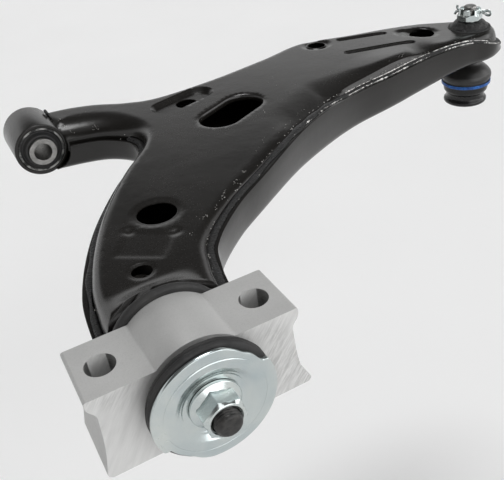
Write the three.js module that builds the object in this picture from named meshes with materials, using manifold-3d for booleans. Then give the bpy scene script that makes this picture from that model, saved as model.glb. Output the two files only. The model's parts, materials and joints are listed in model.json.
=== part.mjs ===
// Front lower control arm: a two-shell welded box section with a rear bush in a bolt-on bracket, a front bush
// in a welded eye tube, and a tapered-stud ball joint. Millimetres, +Z up.
// The origin is the centre of the face with which the rear bracket bolts to the vehicle.
// +Y runs along the pivot axis from the rear bush to the front bush, and +X runs outboard to the ball joint.
import * as THREE from "three";
import { mergeVertices } from "three/addons/utils/BufferGeometryUtils.js";
import Module from "manifold-3d";

const wasm = await Module();
wasm.setup();

// Driving dimensions
const GAP = 0.3; // between faces that touch on the real part
const SHEET = 3.2; // thickness of both pressed shells
const PIVOT_Z = 30; // height of the pivot axis over the bracket's bolting face
const ROUND = 26; // segments around the turned pieces

const bracket = {
  length: 108,
  footLeft: -54.5,
  footRight: 58,
  depth: 38,
  padTop: 51,
  padEdge: 5,
  waist: 50,
  waistZ: 41,
  flareZ: 24,
  humpRadius: 29,
  holeSpacing: 80,
  holeRadius: 7.6,
  boreRadius: 24,
};
const rearBush = {
  sleeveWall: 1.8,
  innerOuter: 12.6,
  innerBore: 9.3,
  flangeRadius: 32.8,
  flangeBack: -25.5,
  rearFace: 23.6,
};
const pin = { thread: 7, shank: 9, tail: 8, collar: 15, tip: -49, collarFace: 26.7, end: 72 };
const washer = {
  lobeRadius: 31.9,
  flatRadius: 29.3,
  flatHeading: 52, // direction of the middle of one trimmed arc, in degrees
  flatWidth: 46,
  dishRadius: 16.4,
  thickness: 2.4,
  rimFace: -34.4,
  seatFace: -31.4,
};
const flangeNut = { acrossFlats: 19.6, flangeRadius: 13.4, height: 13, heading: 12 };
const eye = { from: 294, to: 340.5, radius: 21.5, wall: 2.9 };
const frontBush = { sleeveWall: 1.4, innerOuter: 11.1, innerBore: 7, reach: 5 };
const joint = { x: 415.5, y: 258, ballZ: -25, ballRadius: 11.5, bottom: -41.7, top: 54, thread: 6 };
const boss = { bottom: 6.5, top: 40.4, neck: 12, radius: 15.5, collar: 19, collarZ: 34.4 };
const castleNut = { acrossFlats: 21, height: 11, slotWidth: 4, slotDepth: 4.6 };
const cotter = { radius: 1.4, z: 48.8 };

// Plan outline of the lower shell's outer face, as [x, y, width of the upper shell's rounded shoulder].
// It runs anticlockwise from the outboard corner of the pivot end, around the ball joint and the front leg.
const OUTLINE = [
  [38, 27, 3],
  [43, 51, 8],
  [53, 76, 8],
  [81, 104, 9],
  [116, 129, 12],
  [177, 172, 20],
  [238, 204, 32],
  [290, 217, 38],
  [347, 227, 32],
  [390, 229, 18],
  [417, 228, 10],
  [438, 239, 8],
  [445, 258, 8],
  [437, 278, 8],
  [417, 292, 8],
  [381, 309, 8],
  [320, 320, 8],
  [266, 333, 8],
  [215, 320, 8],
  [160, 309, 8],
  [108, 305, 8],
  [84, 313, 8],
  [60, 329, 8],
  [34, 339, 8],
  [5, 340, 4],
  [5, 290, 4],
  [30, 284, 22],
  [48, 276, 16],
  [62, 260, 9],
  [66, 243, 8],
  [57, 221, 8],
  [30, 189, 8],
  [3, 149, 8],
  [-15, 113, 8],
  [-27, 79, 8],
  [-32, 50, 8],
  [-33.5, 27, 3],
];
const LEG_END = 24; // index of the leg's far corner, which the eye tube covers
const STEPS = 2; // points per stretch of the outline

// Heights along the arm, as [x, z]: the crown of the upper shell, the floor of the lower one, and their seam.
// The lower shell's outboard wall stands higher than its other walls, so the seam has its own heights there.
const CROWN = [
  [-60, 45],
  [40, 44],
  [120, 42.3],
  [200, 41],
  [280, 40],
  [330, 38.6],
  [350, 37.4],
  [380, 34.8],
  [400, 33.4],
  [430, 32.2],
  [460, 31.8],
];
const FLOOR = [
  [-60, 12],
  [50, 12],
  [116, 12],
  [150, 10],
  [180, 7],
  [208, 4.6],
  [238, 2.6],
  [264, 1.9],
  [300, 1.9],
  [347, 4.6],
  [361, 6.8],
  [390, 9.6],
  [460, 10.4],
];
const SEAM = [[-60, 30], [350, 30], [392, 28.5], [409, 26], [425, 21], [436, 17], [460, 17]];
const OUTBOARD_SEAM = [
  [-60, 36],
  [38, 36],
  [81, 37],
  [146, 38],
  [177, 37.6],
  [208, 36],
  [228, 34],
  [240, 32.8],
  [290, 31.4],
  [350, 31.4],
  [388, 30],
  [409, 26],
  [425, 21],
  [436, 17],
  [460, 17],
];
const MIDDLE = [[-40, 0], [60, 160], [177, 240], [240, 262], [300, 268], [445, 258]]; // between the two sides, [x, y]
const SKIRT = 7; // how far the upper shell reaches down inside the lower one
const HOOD = { crown: 55.5, foot: 44.2, halfWidth: 28, from: 27.5, to: 54 };

const holes = {
  large: { x: 34, y: 119, radius: 13 },
  drain: { x: 4, y: 66, radius: 6.2 },
  oval: { x: 122, y: 273, radius: 9 },
  locating: { x: 275, y: 311, radius: 8.4 },
  tip: { x: 372, y: 275, radius: 11.8 },
};
const slot = { a: [129, 222], b: [156, 236], radius: 16, lip: 6 };

const FINISH = {
  coated: { color: 0x2d2b28, roughness: 0.42, metalness: 0.3 },
  weld: { color: 0x2a2a2b, roughness: 0.5, metalness: 0.4 },
  aluminium: { color: 0xb4b4b4, roughness: 0.5, metalness: 0.9 },
  zinc: { color: 0xc4ccd2, roughness: 0.25, metalness: 1 },
  steel: { color: 0x8c8c8e, roughness: 0.35, metalness: 1 },
  rubber: { color: 0x171717, roughness: 0.8, metalness: 0 },
  blackSteel: { color: 0x1a1a1b, roughness: 0.35, metalness: 0.5 },
  liner: { color: 0xd9d4c4, roughness: 0.5, metalness: 0 },
  blueClip: { color: 0x2f6fb8, roughness: 0.3, metalness: 0.6 },
};

// Booleans and lofts

function toSolid(geometry) {
  const bare = geometry.clone();
  bare.deleteAttribute("normal");
  bare.deleteAttribute("uv");
  const merged = mergeVertices(bare, 1e-4);
  return new wasm.Manifold(
    new wasm.Mesh({
      numProp: 3,
      vertProperties: new Float32Array(merged.attributes.position.array),
      triVerts: new Uint32Array(merged.index.array),
    }),
  );
}

function toGeometry(solid) {
  const mesh = solid.getMesh();
  const geometry = new THREE.BufferGeometry();
  geometry.setAttribute("position", new THREE.BufferAttribute(new Float32Array(mesh.vertProperties), 3));
  geometry.setIndex(new THREE.BufferAttribute(new Uint32Array(mesh.triVerts), 1));
  geometry.computeVertexNormals();
  return geometry;
}

function cut(geometry, ...tools) {
  return toGeometry(tools.reduce((solid, tool) => solid.subtract(toSolid(tool)), toSolid(geometry)));
}

function join(geometry, ...others) {
  return toGeometry(others.reduce((solid, other) => solid.add(toSolid(other)), toSolid(geometry)));
}

function common(geometry, other) {
  return toGeometry(toSolid(geometry).intersect(toSolid(other)));
}

// A closed solid through rings of equal length: side faces between neighbours, and a cap on each end.
function loft(rings) {
  const count = rings[0].length;
  const positions = rings.flat().flatMap((p) => [p.x, p.y, p.z]);
  const index = [];
  for (let r = 0; r + 1 < rings.length; r++) {
    for (let i = 0; i < count; i++) {
      const j = (i + 1) % count;
      const a = r * count + i;
      const b = r * count + j;
      index.push(a, b, a + count, b, b + count, a + count);
    }
  }
  const cap = (ring, offset, flip) => {
    const flat = ring.map((p) => new THREE.Vector2(p.x, p.y));
    for (const [a, b, c] of THREE.ShapeUtils.triangulateShape(flat, [])) {
      index.push(offset + a, offset + (flip ? c : b), offset + (flip ? b : c));
    }
  };
  cap(rings[0], 0, true);
  cap(rings.at(-1), (rings.length - 1) * count, false);
  const geometry = new THREE.BufferGeometry();
  geometry.setAttribute("position", new THREE.Float32BufferAttribute(positions, 3));
  geometry.setIndex(index);
  return geometry;
}

// Pieces turned about the pivot axis: [radius, distance along the axis] pairs, closed on themselves
// or starting and ending on the axis.
function turned(profile, segments = ROUND) {
  const closed = profile[0][0] > 0 || profile.at(-1)[0] > 0;
  const points = (closed ? [...profile, profile[0]] : profile).map(([r, y]) => new THREE.Vector2(r, y));
  return new THREE.LatheGeometry(points, segments);
}

// The same about a vertical axis.
function turnedUpright(profile, segments = ROUND) {
  return turned(profile, segments).rotateX(Math.PI / 2);
}

function ringProfile(inner, outer, from, to, chamfer = 0) {
  return [
    [inner, from],
    [outer - chamfer, from],
    [outer, from + chamfer],
    [outer, to - chamfer],
    [outer - chamfer, to],
    [inner, to],
  ].filter(([r, y], i, all) => !i || r !== all[i - 1][0] || y !== all[i - 1][1]);
}

function cylinderAt(x, y, radius, from, to, segments = 20) {
  const height = to - from;
  return new THREE.CylinderGeometry(radius, radius, height, segments)
    .rotateX(Math.PI / 2)
    .translate(x, y, from + height / 2);
}

function pivotCylinder(radius, from, to, segments = ROUND) {
  return new THREE.CylinderGeometry(radius, radius, to - from, segments).translate(0, (from + to) / 2, PIVOT_Z);
}

// Arm outline

function heightAt(table, x) {
  const last = table.length - 1;
  const i = Math.min(Math.max(table.findIndex(([at]) => at > x), 1), last) - 1;
  const [x0, z0] = table[i];
  const [x1, z1] = table[i + 1];
  return THREE.MathUtils.mapLinear(x, x0, x1, z0, z1);
}

// The smooth outline as points with .shoulder, its corners at the pivot end and at the eye tube kept.
function armOutline() {
  const stretches = [OUTLINE.slice(0, LEG_END + 1), OUTLINE.slice(LEG_END + 1)];
  return stretches.flatMap((stretch) => {
    const curve = new THREE.CatmullRomCurve3(
      stretch.map(([x, y, shoulder]) => new THREE.Vector3(x, y, shoulder)),
      false,
      "catmullrom",
      0.5,
    );
    return curve.getPoints((stretch.length - 1) * STEPS);
  });
}

// The outline moved inwards by inset(point), mitred at each point, at height z(point).
function ringOf(outline, inset, z) {
  const count = outline.length;
  return outline.map((p, i) => {
    const before = outline[(i + count - 1) % count];
    const after = outline[(i + 1) % count];
    const n1 = new THREE.Vector2(before.y - p.y, p.x - before.x).normalize();
    const n2 = new THREE.Vector2(p.y - after.y, after.x - p.x).normalize();
    const mitre = n1.clone().add(n2).divideScalar(1 + n1.dot(n2));
    const distance = inset(p);
    return new THREE.Vector3(p.x + mitre.x * distance, p.y + mitre.y * distance, z(p));
  });
}

const outline = armOutline();
const crownZ = (p) => heightAt(CROWN, p.x);
const floorZ = (p) => heightAt(FLOOR, p.x);
const seamZ = (p) => heightAt(p.y < heightAt(MIDDLE, p.x) ? OUTBOARD_SEAM : SEAM, p.x);
const UPPER_INSET = SHEET + GAP;
// The upper shell's skirt stops above the lower shell's floor, which rises towards the tip.
const skirtZ = (p) => Math.max(seamZ(p) - SKIRT, floorZ(p) + SHEET + 2.2);

function lowerShell() {
  const corner = 5;
  const rings = [];
  for (const turn of [90, 40, 0]) {
    const angle = THREE.MathUtils.degToRad(turn);
    rings.push(
      ringOf(outline, () => corner * (1 - Math.cos(angle)), (p) => floorZ(p) + corner * (1 - Math.sin(angle))),
    );
  }
  rings.push(ringOf(outline, () => 0, seamZ));
  rings.push(ringOf(outline, () => SHEET, seamZ));
  const inner = corner - SHEET;
  for (const turn of [0, 90]) {
    const angle = THREE.MathUtils.degToRad(turn);
    rings.push(
      ringOf(
        outline,
        () => SHEET + inner * (1 - Math.cos(angle)),
        (p) => floorZ(p) + SHEET + inner * (1 - Math.sin(angle)),
      ),
    );
  }
  const drains = [
    cylinderAt(holes.large.x, holes.large.y, 11, -30, 25),
    cylinderAt(215, 262, 14, -30, 25),
    cylinderAt(320, 272, 10, -30, 25),
  ];
  return cut(
    loft(rings),
    pivotCylinder(pin.collar + GAP, 20, 40),
    pivotCylinder(eye.radius + GAP, eye.from - 15, eye.to + 15),
    cylinderAt(joint.x, joint.y, boss.radius + GAP, -30, 25, ROUND),
    ...drains,
  );
}

function upperShell() {
  const rings = [];
  const shoulderFoot = 2;
  const shoulderRing = (angle, inset, drop, narrower) =>
    ringOf(
      outline,
      (p) => inset + (p.z - narrower) * (1 - Math.cos(angle)),
      (p) => {
        const foot = Math.min(seamZ(p) + shoulderFoot, crownZ(p) - drop - 0.6);
        return foot + (crownZ(p) - drop - foot) * Math.sin(angle);
      },
    );
  for (const turn of [0, 25, 55, 90]) {
    rings.push(shoulderRing(THREE.MathUtils.degToRad(turn), UPPER_INSET, 0, 0));
  }
  rings.unshift(ringOf(outline, () => UPPER_INSET, skirtZ));
  rings.unshift(ringOf(outline, () => UPPER_INSET + SHEET, skirtZ));
  for (const turn of [0, 50, 90]) {
    rings.unshift(shoulderRing(THREE.MathUtils.degToRad(turn), UPPER_INSET + SHEET, SHEET, SHEET));
  }
  const shell = join(loft(rings), hood(), slotRim());
  const openings = Object.values(holes).map(({ x, y, radius }) => cylinderAt(x, y, radius, 28, 60));
  return cut(
    shell,
    pivotCylinder(pin.collar + GAP, 20, 40),
    pivotCylinder(eye.radius + GAP, eye.from - 15, eye.to + 15),
    cylinderAt(joint.x, joint.y, boss.radius + GAP, 20, 60, ROUND),
    obround(slot.radius, 20, 60),
    ...openings,
  );
}

// The raised arch over the pin at the pivot end of the upper shell, falling to the flat crown.
function hood() {
  const sections = 4;
  const across = 8;
  const rings = [];
  for (let s = 0; s <= sections; s++) {
    const t = s / sections;
    const y = THREE.MathUtils.lerp(HOOD.from, HOOD.to, t);
    const rise = 0.5 + (HOOD.crown - HOOD.foot) * (1 - THREE.MathUtils.smoothstep(t, 0, 1));
    const arch = (drop) =>
      Array.from({ length: across + 1 }, (_, i) => {
        const u = (2 * i) / across - 1;
        return new THREE.Vector3(u * (HOOD.halfWidth - drop), y, HOOD.foot - drop + rise * (1 - u * u));
      });
    rings.push([...arch(0), ...arch(SHEET).reverse()]);
  }
  return bridge(rings);
}

// A closed solid through rings that stand across the pivot axis.
function bridge(rings) {
  const lie = (p) => new THREE.Vector3(p.x, -p.z, p.y);
  return loft(rings.map((ring) => ring.map(lie))).rotateX(-Math.PI / 2);
}

// The round-ended slot between the two legs, as a prism.
function obround(radius, from, to) {
  const a = new THREE.Vector2(...slot.a);
  const b = new THREE.Vector2(...slot.b);
  const heading = b.clone().sub(a).angle();
  const shape = new THREE.Shape();
  shape.absarc(b.x, b.y, radius, heading - Math.PI / 2, heading + Math.PI / 2, false);
  shape.absarc(a.x, a.y, radius, heading + Math.PI / 2, heading + 1.5 * Math.PI, false);
  const options = { depth: to - from, bevelEnabled: false, curveSegments: 14 };
  return new THREE.ExtrudeGeometry(shape, options).translate(0, 0, from);
}

// The rolled-in rim that stiffens the slot, before the slot is cut.
function slotRim() {
  const top = heightAt(CROWN, slot.a[0]) - 1;
  return obround(slot.radius + SHEET, top - slot.lip, top);
}

// A weld bead laid on the lower shell's edge, between two points of the outline.
function seamWeld(from, to) {
  const beadRadius = 1.3;
  const path = ringOf(outline, () => beadRadius / 2, (p) => seamZ(p) + beadRadius + GAP).slice(from, to + 1);
  return bead(path, beadRadius);
}

function bead(points, radius) {
  const section = new THREE.Shape().absarc(0, 0, radius, 0, 2 * Math.PI, false);
  const path = new THREE.CatmullRomCurve3(points);
  const steps = Math.round(points.length * 1.4);
  const options = { steps, curveSegments: 3, bevelEnabled: false, extrudePath: path };
  return new THREE.ExtrudeGeometry(section, options);
}

// A straight bead along the pivot direction, in the corner between the eye tube and a shell face at height z.
function eyeWeld(z, from, to, below) {
  const beadRadius = 1.5;
  const reach = eye.radius + GAP + beadRadius;
  const height = z + (below ? -1 : 1) * (beadRadius + GAP);
  const x = Math.sqrt(reach ** 2 - (height - PIVOT_Z) ** 2);
  const length = to - from - 2 * beadRadius;
  return new THREE.CapsuleGeometry(beadRadius, length, 3, 10).translate(x, (from + to) / 2, height);
}

// Rear bush in its bracket

function rearBracket() {
  const b = bracket;
  const half = b.length / 2;
  const footChamfer = 2;
  const flareLow = b.waist + 2.4;
  const flareHigh = b.waist + 0.8;
  const arcStart = Math.asin((b.padTop - PIVOT_Z) / b.humpRadius);
  const shape = new THREE.Shape();
  shape.moveTo(b.footLeft + footChamfer, 0);
  shape.lineTo(b.footRight - footChamfer, 0);
  shape.lineTo(b.footRight, footChamfer);
  shape.lineTo(flareLow, b.flareZ / 2);
  shape.lineTo(flareHigh, b.flareZ);
  shape.lineTo(b.waist, b.waistZ);
  shape.lineTo(half, b.padTop - b.padEdge);
  shape.lineTo(half, b.padTop);
  shape.absarc(0, PIVOT_Z, b.humpRadius, arcStart, Math.PI - arcStart, false);
  shape.lineTo(-half, b.padTop);
  shape.lineTo(-half, b.padTop - b.padEdge);
  shape.lineTo(-b.waist, b.waistZ);
  shape.lineTo(-flareHigh, b.flareZ);
  shape.lineTo(-flareLow, b.flareZ / 2);
  shape.lineTo(b.footLeft, footChamfer);
  const profile = new THREE.ExtrudeGeometry(shape, { depth: b.depth, bevelEnabled: false, curveSegments: 14 })
    .rotateX(Math.PI / 2)
    .translate(0, b.depth / 2, 0);
  const bolts = [-1, 1].map((side) => cylinderAt((side * b.holeSpacing) / 2, 0, b.holeRadius, -5, 60));
  return cut(profile, pivotCylinder(b.boreRadius, -30, 30, 36), ...bolts);
}

const sleeveOuter = bracket.boreRadius - GAP;
const sleeveInner = sleeveOuter - rearBush.sleeveWall;
const bracketFace = bracket.depth / 2;

function rearOuterSleeve() {
  return turned(ringProfile(sleeveInner, sleeveOuter, -bracketFace + 0.5, bracketFace - 0.5));
}

// The rubber of the rear bush: a spool whose rear-end flange, behind the washer, stands off the bracket's face.
function rearRubber() {
  const inner = rearBush.innerOuter + GAP;
  const core = sleeveInner - GAP;
  const near = rearBush.flangeBack;
  const far = bracketFace + GAP;
  const rimBack = washer.rimFace + washer.thickness + GAP;
  const seatBack = washer.seatFace + washer.thickness + GAP;
  const dish = washer.dishRadius + 4.5;
  return turned([
    [inner, seatBack],
    [dish, seatBack],
    [dish + 1.5, rimBack],
    [rearBush.flangeRadius - 1.5, rimBack],
    [rearBush.flangeRadius, rimBack + 1.5],
    [rearBush.flangeRadius, near - 1.5],
    [rearBush.flangeRadius - 2, near],
    [core, near],
    [core, far],
    [rearBush.flangeRadius - 2, far],
    [rearBush.flangeRadius, far + 1.2],
    [rearBush.flangeRadius, rearBush.rearFace - 1],
    [rearBush.flangeRadius - 1, rearBush.rearFace],
    [inner, rearBush.rearFace],
  ]);
}

function rearInnerSleeve() {
  const from = washer.seatFace + washer.thickness + GAP;
  return turned(ringProfile(rearBush.innerBore, rearBush.innerOuter, from, rearBush.rearFace));
}

function rearStopWasher() {
  const from = rearBush.rearFace + GAP;
  return turned(ringProfile(pin.shank + GAP, 26, from, pin.collarFace - GAP));
}

function rearPin() {
  const shoulder = washer.seatFace + washer.thickness + 0.6;
  return turned([
    [0, pin.tip],
    [pin.thread - 1, pin.tip],
    [pin.thread, pin.tip + 1],
    [pin.thread, shoulder],
    [pin.shank, shoulder],
    [pin.shank, pin.collarFace],
    [pin.collar, pin.collarFace],
    [pin.collar, pin.collarFace + 5],
    [pin.tail, pin.collarFace + 5],
    [pin.tail, pin.end - 1],
    [pin.tail - 1, pin.end],
    [0, pin.end],
  ]);
}

function pinSupportTube() {
  return turned(ringProfile(pin.tail + GAP, 10.8, 36, pin.end - 3));
}

// The dished washer: its rim is trimmed a little shorter over two opposite arcs, given in degrees.
function cuppedWasher() {
  const t = washer.thickness;
  const dish = washer.dishRadius;
  const disc = turned([
    [pin.thread + GAP, washer.seatFace],
    [dish, washer.seatFace],
    [dish + 3, washer.rimFace],
    [washer.lobeRadius - 0.8, washer.rimFace],
    [washer.lobeRadius, washer.rimFace + 0.8],
    [washer.lobeRadius, washer.rimFace + t],
    [dish + 4, washer.rimFace + t],
    [dish + 1, washer.seatFace + t],
    [pin.thread + GAP, washer.seatFace + t],
  ], 32);
  const lobes = new THREE.Shape();
  for (let k = 0; k < 4; k++) {
    const flat = k % 2 === 0;
    const middle = washer.flatHeading + k * 90;
    const half = flat ? washer.flatWidth / 2 : 90 - washer.flatWidth / 2;
    const [from, to] = [middle - half, middle + half].map(THREE.MathUtils.degToRad);
    lobes.absarc(0, 0, flat ? washer.flatRadius : washer.lobeRadius + 1, from, to, false);
  }
  const trim = new THREE.ExtrudeGeometry(lobes, { depth: 20, bevelEnabled: false, curveSegments: 14 })
    .rotateX(Math.PI / 2)
    .translate(0, washer.rimFace + 10, 0);
  return common(disc, trim);
}

function hexPrism(acrossFlats, from, to) {
  const radius = acrossFlats / Math.sqrt(3);
  return new THREE.CylinderGeometry(radius, radius, to - from, 6).translate(0, (from + to) / 2, 0);
}

function flangeNutSolid() {
  const base = washer.seatFace - GAP;
  const top = base - flangeNut.height;
  const flange = turned([
    [0, base],
    [flangeNut.flangeRadius, base],
    [flangeNut.flangeRadius, base - 1.4],
    [flangeNut.flangeRadius - 3, base - 3.4],
    [0, base - 3.4],
  ].reverse());
  const turn = THREE.MathUtils.degToRad(-flangeNut.heading);
  const prism = hexPrism(flangeNut.acrossFlats, top, base - 1).rotateY(turn);
  const hex = common(prism, nutCrown(top, base, -1));
  const bore = pin.thread + 0.2;
  const thread = new THREE.CylinderGeometry(bore, bore, 40, ROUND).translate(0, base, 0);
  return cut(join(hex, flange), thread);
}

// A turned blank with a chamfered end, which takes the corners off a hexagon.
function nutCrown(top, base, side) {
  const corner = flangeNut.acrossFlats / Math.sqrt(3) + 0.2;
  const chamfered = [
    [0, top],
    [flangeNut.acrossFlats / 2 - 0.4, top],
    [corner, top - side * 1.4],
    [corner, base],
    [0, base],
  ];
  return turned(side < 0 ? chamfered : chamfered.reverse());
}

// Front bush in its eye

function eyeTube() {
  return turned(ringProfile(eye.radius - eye.wall, eye.radius, eye.from, eye.to));
}

const frontSleeveOuter = eye.radius - eye.wall - GAP;
const frontSleeveInner = frontSleeveOuter - frontBush.sleeveWall;

function frontOuterSleeve() {
  return turned(ringProfile(frontSleeveInner, frontSleeveOuter, eye.from + 0.5, eye.to - 0.5));
}

function frontRubber() {
  const inner = frontBush.innerOuter + GAP;
  const outer = frontSleeveInner - GAP;
  return turned([
    [inner, eye.from - 1.5],
    [inner + 2.2, eye.from - 1.5],
    [inner + 3.4, eye.from + 2.5],
    [outer, eye.from + 2.5],
    [outer, eye.to - 2.5],
    [inner + 3.4, eye.to - 2.5],
    [inner + 2.2, eye.to + 1.5],
    [inner, eye.to + 1.5],
  ]);
}

function frontInnerSleeve() {
  const reach = frontBush.reach;
  return turned(ringProfile(frontBush.innerBore, frontBush.innerOuter, eye.from - reach, eye.to + reach, 0.8));
}

// Ball joint

function jointBoss() {
  const b = boss;
  const lowBore = studTaper(b.bottom) + GAP;
  const highBore = studTaper(b.top) + GAP;
  return turnedUpright([
    [lowBore, b.bottom],
    [b.radius, b.bottom],
    [b.radius, b.collarZ],
    [b.collar, b.collarZ],
    [b.collar - 0.6, b.collarZ + 1.2],
    [b.neck + 2.6, b.collarZ + 3],
    [b.neck, b.top],
    [highBore, b.top],
  ]);
}

function bossWeld() {
  const inner = boss.collar + GAP;
  return turnedUpright([
    [inner, boss.collarZ],
    [inner + 1.8, boss.collarZ],
    [inner + 0.8, boss.collarZ + 1.2],
    [inner, boss.collarZ + 1.5],
  ]);
}

// Radius of the stud's taper at height z.
function studTaper(z) {
  return THREE.MathUtils.mapLinear(z, 5, 38, 8.2, 6.3);
}

// An arc of a profile about the ball centre, from one angle above the equator to another.
function ballArc(radius, from, to, count) {
  return Array.from({ length: count + 1 }, (_, i) => {
    const angle = THREE.MathUtils.degToRad(THREE.MathUtils.lerp(from, to, i / count));
    return [radius * Math.cos(angle), joint.ballZ + radius * Math.sin(angle)];
  });
}

const COTTER_HEADING = THREE.MathUtils.degToRad(-59);

function ballStud() {
  const neck = 6;
  const neckAngle = THREE.MathUtils.radToDeg(Math.acos(neck / joint.ballRadius));
  const seat = 38;
  const arc = ballArc(joint.ballRadius, -90, neckAngle, 9).slice(1);
  const stud = turnedUpright([
    [0, joint.ballZ - joint.ballRadius],
    ...arc,
    [neck, 0],
    [studTaper(5), 5],
    [studTaper(seat), seat],
    [joint.thread, seat + 0.5],
    [joint.thread, joint.top - 1],
    [joint.thread - 1, joint.top],
    [0, joint.top],
  ]);
  const crossHole = new THREE.CylinderGeometry(cotter.radius + 0.5, cotter.radius + 0.5, 30, 10)
    .rotateZ(Math.PI / 2)
    .rotateZ(COTTER_HEADING)
    .translate(0, 0, cotter.z);
  return cut(stud, crossHole);
}

function castleNutSolid() {
  const n = castleNut;
  const from = boss.top + GAP;
  const to = from + n.height;
  const radius = n.acrossFlats / Math.sqrt(3);
  const hex = new THREE.CylinderGeometry(radius, radius, n.height, 6)
    .rotateX(Math.PI / 2)
    .rotateZ(COTTER_HEADING)
    .translate(0, 0, (from + to) / 2);
  const blank = turnedUpright([
    [0, from],
    [radius - 0.3, from],
    [radius + 0.2, from + 1],
    [radius + 0.2, to - 6],
    [radius - 1.6, to - n.slotDepth],
    [radius - 1.8, to],
    [0, to],
  ]);
  const slots = [0, 1, 2].map((k) =>
    new THREE.BoxGeometry(40, n.slotWidth, 12)
      .rotateZ(COTTER_HEADING + (k * Math.PI) / 3)
      .translate(0, 0, to - n.slotDepth + 6),
  );
  return cut(common(hex, blank), cylinderAt(0, 0, joint.thread + 0.2, 0, 60), ...slots);
}

// The split pin: a straight shank with an eye at its head and its tail bent up.
function cotterPin() {
  const shank = bead(
    [
      [14, 0],
      [8, 0],
      [0, 0],
      [-9, 0],
      [-11.5, 0.5],
      [-13.5, 2.2],
      [-14.5, 4.6],
    ].map(([x, z]) => new THREE.Vector3(x, 0, z)),
    cotter.radius,
  );
  const loop = new THREE.TorusGeometry(2.6, cotter.radius - 0.3, 6, 14).translate(16.4, 0, 0);
  return join(shank, loop).rotateZ(COTTER_HEADING).translate(0, 0, cotter.z);
}

const housing = { foot: 20.8, neck: 18.5, body: 21.5, cavity: 14.3, rim: -13.6 };

function ballHousing() {
  const h = housing;
  const mouthAngle = THREE.MathUtils.radToDeg(Math.asin(8 / h.cavity));
  return turnedUpright([
    [h.cavity, joint.bottom],
    [18.6, joint.bottom],
    [h.foot, joint.bottom + 1.6],
    [h.foot, joint.bottom + 3.6],
    [h.neck, joint.bottom + 6.4],
    [h.neck, joint.bottom + 10.4],
    [h.body, joint.bottom + 14],
    [h.body, -17.2],
    [19.2, -14],
    [13.6, h.rim],
    ...ballArc(h.cavity, mouthAngle, 0, 4),
  ]);
}

function bearingLiner() {
  return turnedUpright([
    ...ballArc(joint.ballRadius + GAP, 24, -58, 7),
    [6.6, -37],
    [housing.cavity - GAP, -37],
    ...ballArc(housing.cavity - GAP, 0, 21, 3),
  ]);
}

function preloadWasher() {
  return turnedUpright([
    [7, -38.3],
    [13.4, -38.6],
    [13.4, -37.6],
    [7, -37.3],
  ]);
}

function closingPlate() {
  return turnedUpright([
    [0, -41],
    [12.6, -41],
    [14, -40.4],
    [14, -39],
    [0, -39],
  ]);
}

function dustBoot() {
  return turnedUpright([
    [8.6, 5.8],
    [8.6, 0.6],
    [11, -3.4],
    [18.6, -9],
    [22.2, -12.6],
    [21.8, -16.8],
    [21.8, -22.6],
    [22.7, -22.6],
    [22.7, -17.6],
    [24, -15],
    [23.8, -11.6],
    [20, -7],
    [13.4, -2],
    [11.4, 1.4],
    [11.4, 5.4],
    [11, 5.8],
  ]);
}

function clip(inner, outer, from, to) {
  return turnedUpright(ringProfile(inner, outer, from, to));
}

// Assembly: groups stand on the pivot axis and on the ball joint's axis.

const group = new THREE.Group();
const pivotGroup = new THREE.Group();
pivotGroup.position.set(0, 0, PIVOT_Z);
const jointGroup = new THREE.Group();
jointGroup.position.set(joint.x, joint.y, 0);
group.add(pivotGroup, jointGroup);

function place(parent, name, geometry, finish) {
  geometry.computeVertexNormals();
  const mesh = new THREE.Mesh(geometry, new THREE.MeshStandardMaterial(finish));
  mesh.name = name;
  parent.add(mesh);
}

const ends = { tip: 12 * STEPS, inboard: 26 * STEPS };
place(group, "rear_bracket", rearBracket(), FINISH.aluminium);
place(group, "lower_shell", lowerShell(), FINISH.coated);
place(group, "upper_shell", upperShell(), FINISH.coated);
place(group, "seam_weld_outboard", seamWeld(STEPS, ends.tip), FINISH.weld);
place(group, "seam_weld_front", seamWeld(ends.tip + STEPS, 22 * STEPS), FINISH.weld);
place(group, "seam_weld_inboard", seamWeld(ends.inboard + 1, outline.length - STEPS), FINISH.weld);
place(pivotGroup, "front_eye_tube", eyeTube(), FINISH.coated);
place(group, "eye_weld_upper", eyeWeld(heightAt(CROWN, 16), 320, 336, false), FINISH.weld);
place(group, "eye_weld_lower", eyeWeld(heightAt(FLOOR, 14), 298, 337, true), FINISH.weld);
place(pivotGroup, "front_bush_outer_sleeve", frontOuterSleeve(), FINISH.steel);
place(pivotGroup, "front_bush_rubber", frontRubber(), FINISH.rubber);
place(pivotGroup, "front_bush_inner_sleeve", frontInnerSleeve(), FINISH.steel);
place(pivotGroup, "rear_bush_outer_sleeve", rearOuterSleeve(), FINISH.steel);
place(pivotGroup, "rear_bush_rubber", rearRubber(), FINISH.rubber);
place(pivotGroup, "rear_bush_inner_sleeve", rearInnerSleeve(), FINISH.steel);
place(pivotGroup, "rear_stop_washer", rearStopWasher(), FINISH.blackSteel);
place(pivotGroup, "rear_pin", rearPin(), FINISH.blackSteel);
place(pivotGroup, "pin_support_tube", pinSupportTube(), FINISH.coated);
place(pivotGroup, "cupped_washer", cuppedWasher(), FINISH.zinc);
place(pivotGroup, "flange_nut", flangeNutSolid(), FINISH.zinc);
place(jointGroup, "ball_joint_boss", jointBoss(), FINISH.coated);
place(jointGroup, "boss_weld", bossWeld(), FINISH.weld);
place(jointGroup, "ball_stud", ballStud(), FINISH.steel);
place(jointGroup, "castle_nut", castleNutSolid(), FINISH.zinc);
place(jointGroup, "cotter_pin", cotterPin(), FINISH.zinc);
place(jointGroup, "ball_housing", ballHousing(), FINISH.blackSteel);
place(jointGroup, "bearing_liner", bearingLiner(), FINISH.liner);
place(jointGroup, "preload_washer", preloadWasher(), FINISH.steel);
place(jointGroup, "closing_plate", closingPlate(), FINISH.blackSteel);
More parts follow.
